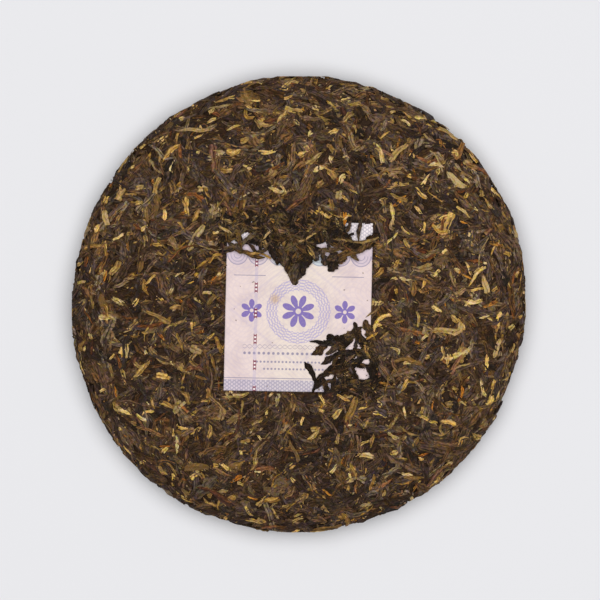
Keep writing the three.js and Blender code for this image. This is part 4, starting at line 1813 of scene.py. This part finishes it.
REACHING = (
    Reach((-33.5, 23.5), (-26.0, 25.8), 1.8),
    Reach((-31.5, 27.5), (-23.4, 22.2), 2.2),
    Reach((-29.5, 24.6), (-15.0, 19.8), 2.8, -1.0),
    Reach((-27.2, 34.5), (-25.2, 23.6), 1.7),
    Reach((-18.0, 32.5), (-25.8, 25.4), 1.9),
    Reach((-22.5, 27.0), (-17.4, 21.6), 1.6),
    Reach((-12.0, 24.5), (-20.0, 22.0), 1.8),
    Reach((-13.4, 25.5), (-10.2, 18.8), 2.4),
    Reach((-8.0, 22.5), (-9.6, 16.9), 2.6),
    Reach((-8.5, 25.0), (-5.0, 14.2), 4.2),
    Reach((-5.0, 20.0), (-4.4, 13.0), 3.0),
    Reach((-0.6, 20.0), (-2.2, 8.3), 4.8),
    Reach((2.8, 22.0), (1.4, 12.2), 3.4),
    Reach((5.0, 23.0), (3.6, 15.6), 3.6),
    Reach((8.2, 23.5), (7.0, 18.6), 2.8),
    Reach((10.8, 24.5), (10.2, 19.4), 2.2),
    Reach((11.0, 21.6), (11.6, 16.6), 3.0),
    Reach((18.0, 20.8), (12.8, 14.4), 4.8),
    Reach((14.4, 23.6), (16.4, 16.6), 3.4),
    Reach((21.0, 21.0), (17.2, 17.6), 2.6),
    Reach((12.0, 20.4), (28.0, 23.2), 2.6),
    Reach((21.5, 24.0), (26.2, 18.7), 2.4),
    Reach((33.4, 26.6), (20.4, 22.0), 2.4, 0.8),
    Reach((18.6, 25.2), (12.0, 22.6), 1.8),
    Reach((27.2, 40.5), (26.0, 26.6), 1.7),
    Reach((23.2, 36.8), (20.8, 31.2), 1.6),
    Reach((35.0, 30.6), (29.4, 28.4), 2.8),
    Reach((20.6, -19.4), (12.4, -13.6), 5.6),
    Reach((22.4, -15.4), (10.8, -17.0), 4.2),
    Reach((13.5, -17.6), (4.7, -16.2), 2.0),
    Reach((12.6, -18.2), (5.6, -22.4), 3.3),
    Reach((18.6, -18.0), (11.8, -22.0), 2.6),
    Reach((17.4, -22.0), (9.6, -26.4), 2.8),
    Reach((8.6, -35.4), (2.8, -25.2), 2.6),
    Reach((15.6, -26.0), (7.4, -34.4), 2.6),
    Reach((20.0, -30.6), (15.6, -30.8), 2.0),
    Reach((9.8, -31.8), (6.0, -38.8), 3.0),
    Reach((11.0, -32.4), (12.2, -39.0), 2.8),
    Reach((19.6, -18.2), (27.4, -9.8), 3.0),
    Reach((26.4, -14.0), (24.0, -7.8), 2.6),
    Reach((31.4, -14.4), (29.0, -6.8), 3.6),
    Reach((30.6, -16.6), (23.6, -11.6), 2.0),
    Reach((26.8, -20.8), (14.8, -21.8), 2.6),
    Reach((24.6, -17.0), (27.2, -11.6), 2.6),
    Reach((21.2, -15.0), (26.8, -13.0), 1.8),
    Reach((20.8, -20.6), (15.4, -16.2), 2.4),
    Reach((24.8, -20.2), (25.4, -15.2), 1.8),
    Reach((32.2, -25.6), (31.8, -36.2), 2.8),
    Reach((19.6, 33.4), (23.2, 34.2), 1.3),
    Reach((19.4, 29.6), (24.2, 30.6), 1.5),
    Reach((8.4, 23.4), (20.2, 24.3), 2.5),
    Reach((13.0, 28.8), (13.2, 23.6), 1.6),
    Reach((17.2, 22.6), (11.6, 18.0), 3.2),
    Reach((27.4, -12.4), (17.4, -14.8), 3.0),
    Reach((19.4, -27.6), (15.8, -39.2), 3.0),
    Reach((22.0, -35.4), (14.6, -37.6), 2.6),
    Reach((18.6, -30.4), (12.4, -29.6), 1.8),
    Reach((15.8, -28.0), (14.9, -39.4), 2.0),
    Reach((17.0, -33.4), (10.6, -34.2), 1.5),
    Reach((17.4, -37.6), (10.6, -39.4), 2.4),
)
STRANDS = (
    Reach((36.0, -0.6), (29.4, -6.0), 1.0, 0.5),
    Reach((13.0, 27.8), (35.0, 27.4), 2.2, -1.5),
    Reach((36.0, -10.8), (28.6, -16.4), 1.5, 1.6),
    Reach((28.4, -15.6), (31.0, -24.6), 1.6, -0.8),
    Reach((-24.0, 22.9), (-12.0, 20.8), 1.0, 0.8),
    Reach((20.2, -20.4), (14.4, -26.6), 1.4, -1.2),
)

SORTS: dict[str, LeafSort] = {
    "dark_leaves_1": LeafSort(
        DARK, 1150, 40, (9, 22), (2.4, 4.8), (0.28, 0.45), (-0.5, 0.35), Section.WRINKLED, 10, 0.04, 0.4
    ),
    "dark_leaves_2": LeafSort(
        DARK, 2000, 60, (5, 13), (1.4, 3.0), (0.4, 0.6), (-1.0, 0.1), Section.ROLLED, blunt=0.5
    ),
    "brown_leaves": LeafSort(BROWN, 1500, 40, (6, 18), (1.5, 3.8), (0.35, 0.55), (-0.8, 0.3), blunt=0.4),
    "olive_leaves": LeafSort(OLIVE, 1400, 40, (6, 18), (1.5, 3.8), (0.3, 0.5), (-0.8, 0.3), blunt=0.4),
    "golden_buds": LeafSort(
        GOLDEN, 800, 14, (2.5, 9), (0.9, 2.5), (0.25, 0.5), (-0.3, 0.42), rings=7, blunt=0.6, uneven=0.08
    ),
    "pale_leaves": LeafSort(
        PALE, 150, 4, (5, 11), (2.2, 4.2), (0.14, 0.24), (-0.5, 0.2), Section.SPREAD, 9
    ),
    "amber_stems": LeafSort(AMBER, 200, 5, (2.5, 10), (0.8, 2.0), (0.4, 0.65), (-0.5, 0.35), rings=7),
    "broad_leaves": LeafSort(
        BROAD, 420, 8, (7, 15), (3.4, 6.0), (0.14, 0.24), (-0.4, 0.25), Section.SPREAD, 10
    ),
    "leaf_crumbs": LeafSort(
        CRUMB, 5000, 30, (0.6, 2.6), (0.4, 1.2), (0.5, 0.9), (-0.3, 0.35), Section.CHIP, 3
    ),
    "covering_leaves": LeafSort(OVER, 0, 420, (5, 13), (1.6, 4.0), (0.3, 0.5), (-0.3, 0.4)),
    "reaching_leaves": LeafSort(
        REACH, 0, 0, (5, 15), (2, 6), (0.14, 0.24), (0.2, 0.35), Section.SPREAD, 12, 0.05, 0.12,
        placed=REACHING,
    ),
    "curled_strands": LeafSort(
        STRAND, 130, 3, (7, 18), (0.6, 1.3), (0.5, 0.8), (-0.2, 0.4), Section.CHIP, 13, 0.16, placed=STRANDS
    ),
    "tan_cuts": LeafSort(
        TAN, 100, 2, (4, 15), (1.6, 3.4), (0.18, 0.3), (0.1, 0.45), Section.FOLDED, 7, 0.02, 0.85,
        uneven=0.06,
    ),
    "russet_stems": LeafSort(
        RUSSET, 130, 3, (6, 17), (1.4, 3.0), (0.35, 0.55), (-0.2, 0.4), Section.ROLLED, 8, 0.04, 0.6
    ),
    "crescent_buds": LeafSort(
        GOLDEN, 90, 0, (7, 14), (1.6, 2.7), (0.35, 0.55), (0.15, 0.5), Section.ROLLED, 12, 0.09, 0.3,
        uneven=0.05,
    ),
}


def main() -> None:
    """Builds the studio, the core, each sort of leaf and the slip, in that order."""
    logging.basicConfig(level=logging.INFO, format="%(name)s: %(message)s")
    Studio().build()
    form = CakeForm()
    place = SlipPlace(form)
    PressedCore(form, place).build()
    press = LeafPress(form, place, Openings())
    materials: dict[str, bpy.types.Material] = {}
    for seed, (name, sort) in enumerate(SORTS.items(), start=FIRST_SORT_SEED):
        finish = sort.finish.name
        if finish not in materials:
            materials[finish] = sort.finish.material()
        press.layer(name, sort, seed).make(name, materials[finish], "pressed_tea", "tea_cake", smooth=False)
    PaperSlip(place).build()


if __name__ == "__main__":
    main()
